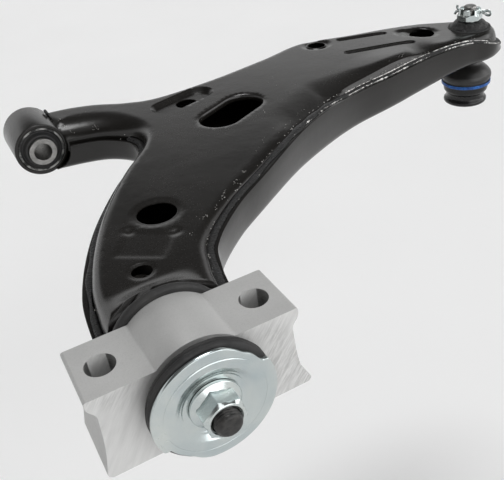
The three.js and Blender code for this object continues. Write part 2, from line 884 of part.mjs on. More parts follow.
place(jointGroup, "dust_boot", dustBoot(), FINISH.rubber);
place(jointGroup, "boot_clip_upper", clip(11.7, 12.8, 2.4, 4.6), FINISH.blueClip);
place(jointGroup, "boot_clip_lower", clip(23, 24, -21.6, -18.6), FINISH.blueClip);

export default group;
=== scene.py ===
import json
import math
import random

import bmesh
import bpy
import numpy as np
from mathutils import Matrix, Vector, geometry, noise


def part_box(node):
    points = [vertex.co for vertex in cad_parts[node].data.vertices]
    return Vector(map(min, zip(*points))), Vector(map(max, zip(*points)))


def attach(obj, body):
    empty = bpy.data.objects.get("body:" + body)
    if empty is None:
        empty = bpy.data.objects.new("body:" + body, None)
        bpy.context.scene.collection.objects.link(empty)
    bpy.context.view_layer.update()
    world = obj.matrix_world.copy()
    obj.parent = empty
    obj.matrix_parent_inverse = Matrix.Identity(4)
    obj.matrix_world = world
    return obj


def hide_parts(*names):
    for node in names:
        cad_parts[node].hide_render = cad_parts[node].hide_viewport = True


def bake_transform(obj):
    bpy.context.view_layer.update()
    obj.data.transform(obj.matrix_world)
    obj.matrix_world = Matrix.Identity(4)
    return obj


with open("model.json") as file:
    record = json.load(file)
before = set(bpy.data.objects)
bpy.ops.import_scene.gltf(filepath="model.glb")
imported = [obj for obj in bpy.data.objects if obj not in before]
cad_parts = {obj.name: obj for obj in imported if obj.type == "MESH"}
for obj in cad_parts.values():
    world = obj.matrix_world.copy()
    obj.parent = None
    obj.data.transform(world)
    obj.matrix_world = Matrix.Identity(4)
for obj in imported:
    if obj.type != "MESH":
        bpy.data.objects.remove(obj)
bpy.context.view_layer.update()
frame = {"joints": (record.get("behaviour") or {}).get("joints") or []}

MM = 0.001
joints = {joint["name"]: joint for joint in frame["joints"]}
PIVOT = Vector(joints["arm_pivot"]["pos_m"]) / MM  # a point on the pivot axis, which runs along Y
BALL = Vector(joints["ball_spin"]["pos_m"]) / MM  # centre of the ball


def node_box(node):
    low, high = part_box(node)
    return low / MM, high / MM


# ---------------------------------------------------------------------------------------------- materials


class Shader:
    """A material's node tree, with short calls for the nodes that this script uses."""

    def __init__(self, name, **values):
        self.material = bpy.data.materials.new(name)
        self.material.use_nodes = True
        self.nodes = self.material.node_tree.nodes
        self.links = self.material.node_tree.links
        self.shader = self.nodes["Principled BSDF"]
        for socket, value in values.items():
            self.shader.inputs[socket.replace("_", " ")].default_value = value
        self.place = self.nodes.new("ShaderNodeTexCoord").outputs["Object"]

    def node(self, kind, settings=(), **sockets):
        made = self.nodes.new(kind)
        for key, value in dict(settings).items():
            setattr(made, key, value)
        for key, value in sockets.items():
            socket = made.inputs[key.replace("_", " ")]
            if isinstance(value, bpy.types.NodeSocket):
                self.links.new(value, socket)
            else:
                socket.default_value = value
        return made

    def stretched(self, scale, turn=(0, 0, 0)):
        """The place turned first and then stretched, so that the streaks themselves are turned."""
        turned_place = self.node("ShaderNodeMapping", Vector=self.place, Rotation=turn).outputs["Vector"]
        return self.node("ShaderNodeMapping", Vector=turned_place, Scale=scale).outputs["Vector"]

    def grain(self, scale, detail=3.0, roughness=0.55, vector=None, distortion=0.0):
        return self.node(
            "ShaderNodeTexNoise",
            Vector=vector or self.place,
            Scale=scale,
            Detail=detail,
            Roughness=roughness,
            Distortion=distortion,
        ).outputs["Fac"]

    def ramp(self, value, low, high, to_low=0.0, to_high=1.0):
        return self.node(
            "ShaderNodeMapRange",
            Value=value,
            From_Min=low,
            From_Max=high,
            To_Min=to_low,
            To_Max=to_high,
        ).outputs["Result"]

    def mix(self, factor, a, b):
        made = self.nodes.new("ShaderNodeMix")
        made.data_type = "RGBA"
        self.links.new(factor, made.inputs[0])
        for socket, value in ((made.inputs[6], a), (made.inputs[7], b)):
            if isinstance(value, bpy.types.NodeSocket):
                self.links.new(value, socket)
            else:
                socket.default_value = (*value, 1)
        return made.outputs[2]

    def add(self, a, b, operation="ADD"):
        made = self.nodes.new("ShaderNodeMath")
        made.operation = operation
        for socket, value in zip(made.inputs, (a, b)):
            if isinstance(value, bpy.types.NodeSocket):
                self.links.new(value, socket)
            else:
                socket.default_value = value
        return made.outputs[0]

    def colour(self, value):
        self.links.new(value, self.shader.inputs["Base Color"])

    def rough(self, value):
        self.links.new(value, self.shader.inputs["Roughness"])

    def bump(self, height, strength, distance):
        made = self.node("ShaderNodeBump", Height=height, Strength=strength, Distance=distance)
        self.links.new(made.outputs["Normal"], self.shader.inputs["Normal"])


def plain_material(name, patches, tones, dullness, relief, **values):
    """Two tones in patches, an uneven roughness and a fine relief.

    patches: noise scale, detail, and the range that turns from the first tone to the second.
    dullness: noise scale, detail, and the lowest and highest roughness.
    relief: noise scale, detail, and the bump's strength and distance in metres.
    """
    s = Shader(name, **values)
    scale, detail, low, high = patches
    s.colour(s.mix(s.ramp(s.grain(scale, detail), low, high), *tones))
    scale, detail, smooth, dull = dullness
    s.rough(s.ramp(s.grain(scale, detail), 0.3, 0.7, smooth, dull))
    scale, detail, strength, distance = relief
    s.bump(s.grain(scale, detail), strength, distance)
    return s.material


def coat_material():
    """Satin black dip coat over pressed steel: slightly warm, with a faint orange peel and dusty patches."""
    s = Shader("black_dip_coat")
    s.shader.inputs["Specular IOR Level"].default_value = 0.42
    patches = s.grain(14, 4)
    s.colour(s.mix(s.ramp(patches, 0.35, 0.7), (0.0075, 0.0068, 0.006), (0.0115, 0.0104, 0.0092)))
    fine = s.grain(900, 2)
    s.rough(s.add(s.ramp(patches, 0.3, 0.75, 0.2, 0.26), s.ramp(fine, 0.3, 0.7, -0.03, 0.04)))
    s.bump(s.add(s.grain(420, 3), s.add(s.grain(60, 2), 3.0, "MULTIPLY")), 0.1, 0.0004)
    return s.material


def weld_material():
    """Coated weld bead: glossy black, rough with fine pits, with painted glints: silvery specks in the colour
    that stand in for highlights.
    """
    s = Shader("coated_weld")
    s.shader.inputs["Specular IOR Level"].default_value = 0.4
    # Painted highlights: random light grey specks in the base colour stand in for glints of light on the
    # bead.
    painted_glints = s.ramp(s.grain(620, 4, 0.7), 0.64, 0.72)
    s.colour(s.mix(painted_glints, (0.007, 0.007, 0.0072), (0.25, 0.25, 0.26)))
    s.rough(s.ramp(s.grain(500, 3), 0.3, 0.7, 0.25, 0.5))
    s.bump(s.grain(900, 4, 0.65), 0.8, 0.0008)
    return s.material


def painted_glint_material():
    """Painted glints along the toes of the weld: near-white specks that stand in for highlights, broken up by
    black coating.
    """
    s = Shader("weld_toe_painted_glints", Metallic=0.5)
    broken = s.add(s.grain(330, 4, 0.75), s.add(s.grain(30, 2), 0.4, "MULTIPLY"))
    # Painted highlight: near-white specks in the colour in place of glints of light along the weld.
    s.colour(s.mix(s.ramp(broken, 0.62, 0.7), (0.01, 0.01, 0.01), (0.8, 0.79, 0.77)))
    s.rough(s.ramp(s.grain(500, 2), 0.3, 0.7, 0.3, 0.5))
    s.bump(s.grain(900, 3), 0.5, 0.0005)
    return s.material


def extruded_material():
    """Bare aluminium as extruded: matte, with a fine even grain, faint die lines and dull stains."""
    s = Shader("extruded_aluminium", Metallic=0.35)
    lines = s.grain(1.0, 3, 0.6, s.stretched((1100, 60, 1100)))
    stains = s.grain(26, 5, 0.6)
    base = s.mix(s.ramp(stains, 0.35, 0.7), (0.47, 0.47, 0.464), (0.53, 0.53, 0.522))
    speckle = s.grain(1500, 3, 0.7)
    toned = s.mix(s.ramp(lines, 0.4, 0.75, 0, 0.3), base, (0.5, 0.5, 0.495))
    s.colour(s.mix(s.ramp(speckle, 0.5, 0.75, 0, 0.35), toned, (0.3, 0.3, 0.295)))
    s.rough(s.ramp(s.grain(160, 4), 0.3, 0.7, 0.5, 0.62))
    s.bump(s.add(lines, s.grain(900, 3)), 0.1, 0.0003)
    return s.material


def sawn_material():
    """Bare aluminium as sawn off: bright, with diagonal tooth marks in patches."""
    s = Shader("sawn_aluminium", Metallic=0.35)
    along = s.stretched((900, 10, 90), (0, math.radians(-38), 0))
    marks = s.grain(1.0, 4, 0.7, along)
    patches = s.ramp(s.grain(22, 3), 0.45, 0.62)
    swirl = s.grain(1.0, 3, 0.6, s.stretched((260, 10, 30), (0, math.radians(-30), 0)))
    base = s.mix(s.ramp(swirl, 0.35, 0.7), (0.57, 0.57, 0.564), (0.66, 0.66, 0.652))
    cut = s.add(s.ramp(marks, 0.42, 0.6, 0, 0.65), patches, "MULTIPLY")
    s.colour(s.mix(cut, base, (0.36, 0.36, 0.355)))
    s.rough(s.ramp(marks, 0.3, 0.7, 0.42, 0.6))
    s.bump(marks, 0.3, 0.0004)
    return s.material


def zinc_material():
    """Bright zinc plate: bluish white with cloudy patches and fine pressing marks."""
    s = Shader("zinc_plate", Metallic=0.95)
    clouds = s.grain(45, 5, 0.6, distortion=0.4)
    s.colour(s.mix(s.ramp(clouds, 0.3, 0.7), (0.46, 0.52, 0.535), (0.62, 0.655, 0.635)))
    s.rough(s.add(s.ramp(clouds, 0.3, 0.7, 0.16, 0.25), s.ramp(s.grain(900, 2), 0.3, 0.7, -0.03, 0.04)))
    s.bump(s.add(s.grain(200, 2), s.grain(60, 2)), 0.05, 0.0004)
    return s.material


def rubber_material():
    """Black moulded rubber: matte and dry, with a fine grain and grey bloom."""
    s = Shader("moulded_rubber")
    s.colour(s.mix(s.ramp(s.grain(60, 5), 0.4, 0.75), (0.0085, 0.0085, 0.0088), (0.028, 0.027, 0.026)))
    s.rough(s.ramp(s.grain(240, 4), 0.3, 0.7, 0.5, 0.75))
    s.bump(s.add(s.grain(500, 4, 0.7), s.grain(130, 3)), 0.45, 0.0006)
    return s.material


def black_steel_material():
    """Black phosphated and painted forging: glossy, a little uneven."""
    s = Shader("black_paint_steel")
    s.shader.inputs["Specular IOR Level"].default_value = 0.35
    s.colour(s.mix(s.ramp(s.grain(90, 4), 0.35, 0.7), (0.006, 0.006, 0.0062), (0.013, 0.0125, 0.0125)))
    s.rough(s.ramp(s.grain(260, 4), 0.3, 0.7, 0.16, 0.3))
    s.bump(s.add(s.grain(420, 3), s.grain(90, 2)), 0.16, 0.0004)
    return s.material


def bore_material():
    """Machined bores of the bracket: darker, with fine rings."""
    s = Shader("machined_bore", Metallic=0.95)
    rings = s.grain(1.0, 3, 0.6, s.stretched((260, 260, 1700)))
    s.colour(s.mix(s.ramp(rings, 0.35, 0.7), (0.34, 0.34, 0.34), (0.52, 0.52, 0.51)))
    s.rough(s.ramp(rings, 0.3, 0.7, 0.3, 0.45))
    s.bump(rings, 0.2, 0.0003)
    return s.material


COAT = coat_material()
WELD = weld_material()
# Drops of bare weld spatter, and the light drops along the seams' toes that stand in for glints of light
# (painted highlights): dull silver with dark scale
SPATTER_AND_GLINT_PAINT = plain_material(
    "weld_spatter_and_glints",
    patches=(1200, 3, 0.4, 0.6),
    tones=((0.16, 0.155, 0.145), (0.55, 0.54, 0.52)),
    dullness=(800, 2, 0.35, 0.6),
    relief=(1500, 2, 0.4, 0.0003),
    Metallic=0.3,
)
# Painted highlights for the lines of glints along the weld's toes
GLINT_PAINT = painted_glint_material()
EXTRUDED = extruded_material()
SAWN = sawn_material()
ZINC = zinc_material()
# Turned bare steel, uneven in tone, with a light oil tint
STEEL = plain_material(
    "turned_steel",
    patches=(120, 4, 0.35, 0.65),
    tones=((0.2, 0.197, 0.19), (0.36, 0.355, 0.345)),
    dullness=(600, 3, 0.26, 0.46),
    relief=(1300, 3, 0.16, 0.0003),
    Metallic=1.0,
)
RUBBER = rubber_material()
# Smooth black boot rubber with a soft sheen
BOOT = plain_material(
    "boot_rubber",
    patches=(80, 4, 0.35, 0.7),
    tones=((0.009, 0.0088, 0.0085), (0.019, 0.018, 0.017)),
    dullness=(300, 3, 0.3, 0.42),
    relief=(500, 3, 0.12, 0.0004),
)
BLACK_STEEL = black_steel_material()
# Blackened thread of the rear pin
THREAD = plain_material(
    "black_thread",
    patches=(300, 4, 0.35, 0.7),
    tones=((0.011, 0.011, 0.011), (0.04, 0.038, 0.036)),
    dullness=(700, 3, 0.3, 0.5),
    relief=(1100, 3, 0.25, 0.0003),
    Metallic=0.35,
)
# Blue coated spring band
CLIP = plain_material(
    "blue_band",
    patches=(150, 3, 0.35, 0.7),
    tones=((0.008, 0.05, 0.2), (0.02, 0.12, 0.4)),
    dullness=(400, 2, 0.22, 0.36),
    relief=(700, 2, 0.1, 0.0003),
    Metallic=0.35,
)
# Ivory moulded bearing plastic
LINER = plain_material(
    "ivory_plastic",
    patches=(70, 3, 0.35, 0.7),
    tones=((0.62, 0.57, 0.47), (0.72, 0.68, 0.58)),
    dullness=(300, 2, 0.4, 0.52),
    relief=(800, 2, 0.1, 0.0003),
)
# Cut edge of the pressed-in sleeve: thin and bright, with dark coating over parts of it
RING_STEEL = plain_material(
    "sleeve_edge",
    patches=(260, 4, 0.42, 0.62),
    tones=((0.03, 0.03, 0.03), (0.32, 0.32, 0.31)),
    dullness=(500, 3, 0.3, 0.5),
    relief=(700, 2, 0.2, 0.0003),
    Metallic=0.7,
)
BORE = bore_material()


# ---------------------------------------------------------------------------------------------- mesh tools


def mesh_object(name, points, faces, *materials):
    """An object from points in millimetres and faces of point numbers."""
    mesh = bpy.data.meshes.new(name)
    corners = [tuple(float(c) * MM for c in p) for p in points]
    mesh.from_pydata(corners, [], [tuple(int(i) for i in f) for f in faces])
    for material in materials:
        mesh.materials.append(material)
    obj = bpy.data.objects.new(name, mesh)
    bpy.context.scene.collection.objects.link(obj)
    return obj


MANY_CORNERS = 7  # a face with as many corners or more is a flat cap, and is shaded flat


def clean(obj, sharp_degrees=32, outward=True):
    """Bakes the modifiers into the mesh, turns its faces outwards, and shades it smooth up to sharp edges."""
    if obj.modifiers:
        evaluated = obj.evaluated_get(bpy.context.evaluated_depsgraph_get())
        baked = bpy.data.meshes.new_from_object(evaluated)
        obj.modifiers.clear()
        obj.data = baked
    work = bmesh.new()
    work.from_mesh(obj.data)
    bmesh.ops.remove_doubles(work, verts=work.verts, dist=0.004 * MM)
    bmesh.ops.dissolve_degenerate(work, edges=work.edges, dist=0.002 * MM)
    if outward:
        bmesh.ops.recalc_face_normals(work, faces=work.faces)
    limit = math.radians(sharp_degrees)
    for face in work.faces:
        face.smooth = len(face.verts) < MANY_CORNERS
    for edge in work.edges:
        edge.smooth = len(edge.link_faces) != 2 or edge.calc_face_angle(0) < limit
    work.to_mesh(obj.data)
    work.free()
    return obj


def show(obj, body, slot, *nodes):
    """The piece rides on a body and stands for CAD nodes, which it hides. The slot is not used."""
    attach(obj, body)
    if nodes:
        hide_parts(*nodes)
    return obj


def cutter(name, points, faces):
    obj = clean(mesh_object(name, points, faces))
    obj.hide_render = True
    return obj


def carve(obj, *tools):
    """Cuts each tool out of the object, and removes the tools."""
    for tool in tools:
        modifier = obj.modifiers.new("cut", "BOOLEAN")
        modifier.operation = "DIFFERENCE"
        modifier.solver = "EXACT"
        modifier.object = tool
        bpy.context.view_layer.update()
        clean(obj)
        bpy.data.objects.remove(tool)
    return obj


def bevel(obj, width, degrees=40, segments=2):
    modifier = obj.modifiers.new("edge", "BEVEL")
    modifier.width = width * MM
    modifier.segments = segments
    modifier.limit_method = "ANGLE"
    modifier.angle_limit = math.radians(degrees)
    return obj


def soften(profile, radius, steps=3, closed=True):
    """A profile with its corners rounded. A corner may state its own radius as a third value."""
    count = len(profile)
    made = []
    for i, corner in enumerate(profile):
        here = np.array(corner[:2], float)
        if not closed and i in (0, count - 1):
            made.append(tuple(here))
            continue
        before = np.array(profile[i - 1][:2], float) - here
        after = np.array(profile[(i + 1) % count][:2], float) - here
        wanted = corner[2] if len(corner) > 2 else radius
        reach = min(wanted, np.linalg.norm(before) * 0.45, np.linalg.norm(after) * 0.45)
        a = here + before / np.linalg.norm(before) * reach
        b = here + after / np.linalg.norm(after) * reach
        for k in range(steps + 1):
            t = k / steps
            made.append(tuple((1 - t) ** 2 * a + 2 * t * (1 - t) * here + t**2 * b))
    return made


def revolve(profile, segments=96, shape=None, closed=True):
    """Points and faces of a profile of (radius, distance) turned about an axis.

    The profile is closed on itself, or runs from pole to pole. shape(radius, distance, angle) may move
    each point.
    """
    points = []
    rings = []
    for r, s in profile:
        if r < 1e-6:
            rings.append([len(points)])
            points.append((0.0, 0.0, s))
            continue
        ring = []
        for k in range(segments):
            angle = 2 * math.pi * k / segments
            rr, ss = shape(r, s, angle) if shape else (r, s)
            ring.append(len(points))
            points.append((rr * math.cos(angle), rr * math.sin(angle), ss))
        rings.append(ring)
    faces = []
    pairs = list(zip(rings, rings[1:])) + ([(rings[-1], rings[0])] if closed else [])
    for low, high in pairs:
        for k in range(segments):
            n = (k + 1) % segments
            corners = [low[k % len(low)], low[n % len(low)], high[n % len(high)], high[k % len(high)]]
            faces.append(list(dict.fromkeys(corners)))
    return points, [f for f in faces if len(f) > 2]


def about_pivot(points):
    """From an axis along Z to the pivot axis: distance runs along +Y."""
    return [(x + PIVOT.x, z, y + PIVOT.z) for x, y, z in points]


def about_joint(points):
    return [(x + BALL.x, y + BALL.y, z) for x, y, z in points]


def turned(name, place, profile, material, segments=96, shape=None, closed=True, sharp=32):
    points, faces = revolve(profile, segments, shape, closed)
    return clean(mesh_object(name, place(points), faces, material), sharp)


def box_mesh(low, high, turn=0.0, centre=(0, 0)):
    corners = [(x, y, z) for z in (low[2], high[2]) for y in (low[1], high[1]) for x in (low[0], high[0])]
    c, s = math.cos(turn), math.sin(turn)
    points = [(centre[0] + x * c - y * s, centre[1] + x * s + y * c, z) for x, y, z in corners]
    return points, [(0, 1, 3, 2), (4, 6, 7, 5), (0, 4, 5, 1), (1, 5, 7, 3), (3, 7, 6, 2), (2, 6, 4, 0)]


def sweep(path, section, closed=False):
    """Points and faces of a section of (side, up) offsets carried along a path, with capped ends."""
    path = [Vector(p) for p in path]
    count = len(path)
    points = []
    side = None
    for i, here in enumerate(path):
        ahead = path[(i + 1) % count] if closed or i + 1 < count else here
        behind = path[i - 1] if closed or i else here
        forward = (ahead - behind).normalized()
        if side is None:
            side = forward.cross(Vector((0, 0, 1)))
            if side.length < 0.2:
                side = forward.cross(Vector((0, 1, 0)))
        side = (side - forward * side.dot(forward)).normalized()
        up = side.cross(forward)
        offsets = section(i / max(count - 1, 1)) if callable(section) else section
        points += [here + side * a + up * b for a, b in offsets]
    size = len(points) // count
    faces = []
    for i in range(count if closed else count - 1):
        for k in range(size):
            n = (k + 1) % size
            j = (i + 1) % count
            faces.append((i * size + k, i * size + n, j * size + n, j * size + k))
    if not closed:
        faces.append(tuple(range(size)))
        faces.append(tuple(range((count - 1) * size, count * size)))
    return points, faces


def circle(radius, sides=12):
    turns = [2 * math.pi * k / sides for k in range(sides)]
    return [(radius * math.cos(a), radius * math.sin(a)) for a in turns]


def smooth_path(points, steps=8, closed=False):
    """A uniform Catmull-Rom curve through points of any dimension."""
    pts = np.array(points, float)
    if closed:
        pts = np.vstack([pts[-1], pts, pts[:2]])
    else:
        pts = np.vstack([2 * pts[0] - pts[1], pts, 2 * pts[-1] - pts[-2]])
    made = []
    for a, b, c, d in zip(pts, pts[1:], pts[2:], pts[3:]):
        for t in np.arange(steps) / steps:
            total = 2 * b + (c - a) * t
            total = total + (2 * a - 5 * b + 4 * c - d) * t**2
            total = total + (3 * b - a - 3 * c + d) * t**3
            made.append(0.5 * total)
    if not closed:
        made.append(pts[-2])
    return np.array(made)


def ease(x, low, high):
    t = np.clip((np.asarray(x, float) - low) / (high - low), 0, 1)
    return t * t * (3 - 2 * t)


# ---------------------------------------------------------------------------------------------- arm outline

# Plan outline of the lower shell's outer face: x, y and the width of the upper shell's rounded shoulder.
OUTLINE = [
    (38, 27, 6.5),
    (43, 51, 6.5),
    (53, 76, 6.5),
    (81, 104, 7),
    (116, 129, 8),
    (177, 172, 9),
    (238, 204, 9),
    (290, 217, 9),
    (347, 227, 9),
    (390, 229, 8),
    (417, 228, 7),
    (438, 239, 7),
    (445, 258, 7),
    (437, 278, 7),
    (417, 292, 8),
    (381, 309, 8),
    (320, 320, 8),
    (266, 333, 8),
    (215, 320, 8),
    (160, 309, 8),
    (108, 305, 8),
    (84, 313, 8),
    (60, 329, 8),
    (34, 339, 8),
    (5, 340, 4),
    (5, 290, 22),
    (30, 284, 26),
    (48, 276, 22),
    (62, 260, 14),
    (66, 243, 9),
    (57, 221, 8),
    (30, 189, 8),
    (3, 149, 8),
    (-15, 113, 8),
    (-27, 79, 8),
    (-32, 50, 8),
    (-33.5, 27, 5),
]
LEG_END = 25  # the outline's stretches part at the eye tube, and at the pivot end
CURVE_STEPS = 10

SHEET = 3.2
SEAM_GAP = 0.3
UPPER_INSET = SHEET + SEAM_GAP
SKIRT = 6.5
CROWN = [
    (-60, 44.6), (40, 44), (120, 42.8), (200, 41.8), (280, 40.2), (330, 38.4), (350, 37.2),
    (380, 35.0), (400, 33.8), (430, 32.6), (460, 32.2),
]
FLOOR = [
    (-60, 12), (50, 12), (116, 12), (150, 10), (180, 7), (208, 4.6), (238, 2.6), (264, 1.9),
    (300, 1.9), (347, 4.6), (361, 6.8), (390, 9.6), (460, 10.4),
]
SEAM = [(-60, 30), (350, 30), (392, 28.5), (409, 26), (425, 21), (436, 17), (460, 17)]
# The lower shell's outboard wall stands higher than its other walls
OUTBOARD_SEAM = [
    (-60, 37.4), (38, 37.5), (81, 38.8), (146, 39.6), (177, 39.0), (208, 37.2), (228, 34.4), (240, 33),
    (290, 31.6), (330, 32.4), (371, 32), (388, 30.8), (409, 26.5), (425, 21), (436, 17), (460, 17),
]
MIDDLE = [
    (-40, 0), (60, 160), (177, 240), (240, 262), (300, 268), (445, 258)
]  # between the two sides of the seam: x, y
# The same for the top face, where the crease and the swell fade out
TOP_MIDDLE = [(-40, 60), (60, 160), (177, 240), (240, 262), (300, 268), (350, 268), (445, 258)]


def height_table(table, reach=16):
    """A height along x, from a table of corners rounded over a reach in millimetres."""
    xs, zs = np.array(table, float).T
    fine = np.arange(xs[0], xs[-1] + 1, 2.0)
    rough = np.interp(fine, xs, zs)
    window = np.hanning(reach + 1)
    padded = np.pad(rough, reach // 2, mode="edge")
    smooth = np.convolve(padded, window / window.sum(), "valid")
    return lambda x: np.interp(x, fine, smooth)


crown_z = height_table(CROWN)
floor_z = height_table(FLOOR)
seam_z = height_table(SEAM, 6)
outboard_seam_z = height_table(OUTBOARD_SEAM, 8)
# The long crease on the outboard flank: its height, and the slope of the shoulder that falls to it
crease_z = height_table(
    [
        (150, 38.6), (206, 37.4), (263, 37.2), (280, 38.2), (300, 38.9), (318, 37.8), (333, 35.6),
        (353, 34.0),
    ]
)
crease_slope = height_table(
    [(150, 0.05), (200, 0.2), (260, 0.34), (300, 0.5), (322, 0.52), (332, 0.22), (360, 0.1)], 6
)
CREASE_FROM, CREASE_TO = 165, 352
CREASE_GAP = 2.6  # how far the crease lies inside the upper shell's edge


def outboard(x, y):
    """Whether a place lies on the outboard side of the arm's middle line."""
    return np.asarray(y) < np.interp(x, *np.array(MIDDLE, float).T)


def seam_height(x, y):
    return np.where(outboard(x, y), outboard_seam_z(x), seam_z(x))


def skirt_height(x, y):
    """Lower edge of the upper shell's skirt, which stops above the lower shell's floor."""
    return np.maximum(seam_height(x, y) - SKIRT, floor_z(x) + SHEET + 2.2)


def arm_outline():
    front = smooth_path(OUTLINE[:LEG_END], CURVE_STEPS)
    back = smooth_path(OUTLINE[LEG_END:], CURVE_STEPS)
    return np.vstack([front, back])


def inset_ring(ring, distance):
    """The outline moved inwards, mitred at each point."""
    xy = ring[:, :2]
    before = np.roll(xy, 1, 0)
    after = np.roll(xy, -1, 0)

    def normal(a, b):
        d = b - a
        n = np.stack([-d[:, 1], d[:, 0]], 1)
        return n / np.maximum(np.linalg.norm(n, axis=1, keepdims=True), 1e-9)

    n1 = normal(before, xy)
    n2 = normal(xy, after)
    mitre = (n1 + n2) / (1 + np.clip((n1 * n2).sum(1, keepdims=True), -0.6, 1))
    moved = ring.copy()
    moved[:, :2] = xy + mitre * distance
    return moved


BATCH = 2000  # points measured at a time, to save memory


def nearest_on(ring, xy):
    """Distance from each point to a closed ring, and the ring's other values there."""
    a = ring
    b = np.roll(ring, -1, 0)
    d = (b - a)[:, :2]
    length2 = np.maximum((d**2).sum(1), 1e-9)
    best = np.full(len(xy), 1e9)
    values = np.zeros((len(xy), ring.shape[1] - 2))
    for start in range(0, len(xy), BATCH):
        part = xy[start : start + BATCH]
        rel = part[:, None, :] - a[None, :, :2]
        t = np.clip((rel * d[None]).sum(2) / length2, 0, 1)
        gap = np.linalg.norm(rel - t[..., None] * d[None], axis=2)
        k = gap.argmin(1)
        rows = np.arange(len(part))
        tk = t[rows, k][:, None]
        best[start : start + BATCH] = gap[rows, k]
        values[start : start + BATCH] = a[k, 2:] * (1 - tk) + b[k, 2:] * tk
    return best, values


def inside(ring, xy):
    """Whether each point lies inside a closed ring."""
    x, y = xy[:, 0], xy[:, 1]
    result = np.zeros(len(xy), bool)
    for (x1, y1), (x2, y2) in zip(ring[:, :2], np.roll(ring[:, :2], -1, 0)):
        crosses = (y1 > y) != (y2 > y)
        if y1 != y2:
            result ^= crosses & (x < (x2 - x1) * (y - y1) / (y2 - y1) + x1)
    return result


def trimmed_ring(ring, distance):
    """The outline moved inwards, without the points that fold back over a corner."""
    moved = inset_ring(ring, distance)
    return moved[nearest_on(ring, moved[:, :2])[0] > distance * 0.97]


outline = arm_outline()
upper_ring = trimmed_ring(outline, UPPER_INSET)


def to_segment(xy, a, b):
    """Distance of each point from the segment a-b."""
    a, b = np.array(a, float), np.array(b, float)
    d = b - a
    t = np.clip(((xy - a) @ d) / (d @ d), 0, 1)
    return np.linalg.norm(xy - a - t[:, None] * d, axis=1)


# Pressed features of the upper shell
HOLES = {
    "large": (34, 119, 13),
    "drain": (4, 66, 6.2),
    "oval": (122, 274, 9),
    "locating": (275, 311, 8.4),
    "tip": (372, 275, 11.8),
}
TIP_HOLE_HEADING, TIP_HOLE_STRETCH = math.radians(50), 1.16
SLOT_A, SLOT_B, SLOT_RADIUS = (129, 222), (156, 236), 16.4
SLOT_ROLL, SLOT_DROP = 3.2, 2.2
GROOVES = [((300, 307), (341, 296), 4.6, 2.6), ((285, 272), (345, 258), 4.6, 2.8)]
OVAL_A, OVAL_B = (104, 272), (136, 281)
OVAL_DEPTH, OVAL_FLOOR, OVAL_EDGE = 3.6, 9.8, 13.8  # the dish round the oval: its floor and edge from A-B
DISHES = (("large", 0.7, 5), ("drain", 0.5, 3), ("locating", 1.8, 7), ("tip", 1.2, 5))  # depth, reach
DENT_A, DENT_B, DENT_DEPTH = (359, 284), (368, 278), 1.5  # beside the tip hole
SWELL_X, SWELL_REACH, SWELL_HEIGHT = 305, 26, 1.6  # the outboard shoulder bulges a little here
DRAINS = [(*HOLES["large"][:2], 11), (215, 262, 14), (320, 272, 10)]  # in the lower shell: x, y, radius
HOOD = {"crown": 11.3, "half": 28.0, "from": 27.5, "to": 56.0}


def groove_depth(xy, a, b, half, depth):
    """A pressed groove with a round floor and soft shoulders."""
    gap = to_segment(xy, a, b)
    return -depth * (1 - ease(gap, half * 0.45, half * 1.05))


def flank_height(x, gap, crown, foot):
    """The outboard flank: a shoulder falling ever more steeply to a crease, then a steep side wall."""
    crease = np.maximum(crease_z(x), foot + 0.6)
    drop = np.maximum(crown - crease, 0.8)
    reach = np.clip(2 * drop / crease_slope(x), 6, 34)
    u = np.clip((gap - CREASE_GAP) / reach, 0, 1)
    top = crown - drop * (1 - u) ** 2
    down = np.clip((CREASE_GAP - gap) / CREASE_GAP, 0, 1)
    return np.where(gap < CREASE_GAP, crease + (foot - crease) * down**1.15, top)


def upper_height(xy):
    """Height of the upper shell's outer face."""
    gap, values = nearest_on(upper_ring, xy)
    width = values[:, 0]
    x, y = xy.T
    swell = SWELL_HEIGHT * np.exp(-(((x - SWELL_X) / SWELL_REACH) ** 2)) * (1 - ease(gap, 8, 40))
    crown = crown_z(x) + swell * outboard_share(x, y)
    foot = np.minimum(seam_height(x, y) + np.where(outboard(x, y), 0.4, 1.5), crown - 0.8)
    t = np.clip(gap / width, 0, 1)
    z = foot + (crown - foot) * np.sqrt(1 - (1 - t) ** 2)
    near = outboard_share(x, y) * ease(x, CREASE_FROM - 18, CREASE_FROM + 10) * (
        1 - ease(x, CREASE_TO - 14, CREASE_TO + 14)
    )
    z = z * (1 - near) + flank_height(x, gap, crown, foot) * near
    # The arch over the pin
    run = 1 - ease(y, HOOD["from"], HOOD["to"])
    u = np.clip(np.abs(x - 1) / HOOD["half"], 0, 1)
    z += HOOD["crown"] * run * (1 - u**2) ** 1.15
    # Grooves, dimples and coined rims
    for a, b, half, depth in GROOVES:
        z += groove_depth(xy, a, b, half, depth)
    z -= OVAL_DEPTH * (1 - ease(to_segment(xy, OVAL_A, OVAL_B), OVAL_FLOOR, OVAL_EDGE))
    for name, depth, reach in DISHES:
        hx, hy, radius = HOLES[name]
        z -= depth * (1 - ease(np.hypot(x - hx, y - hy), radius + 0.5, radius + reach))
    lx, ly, lr = HOLES["locating"]
    z += 1.1 * (1 - ease(np.hypot(x - lx, y - ly), lr + 0.3, lr + 2.4))
    z -= DENT_DEPTH * (1 - ease(to_segment(xy, DENT_A, DENT_B), 6, 12))
    z -= recess_depth(xy)
    slot = to_segment(xy, SLOT_A, SLOT_B) - SLOT_RADIUS
    roll = np.clip(slot / SLOT_ROLL, 0, 1)
    z -= SLOT_DROP * (1 - np.sqrt(1 - (1 - roll) ** 2))
    return z


def outboard_share(x, y):
    """1 on the outboard side of the arm's middle line, 0 on the inboard side."""
    middle = np.interp(x, *np.array(TOP_MIDDLE, float).T)
    return 1 - ease(y, middle - 12, middle + 2)


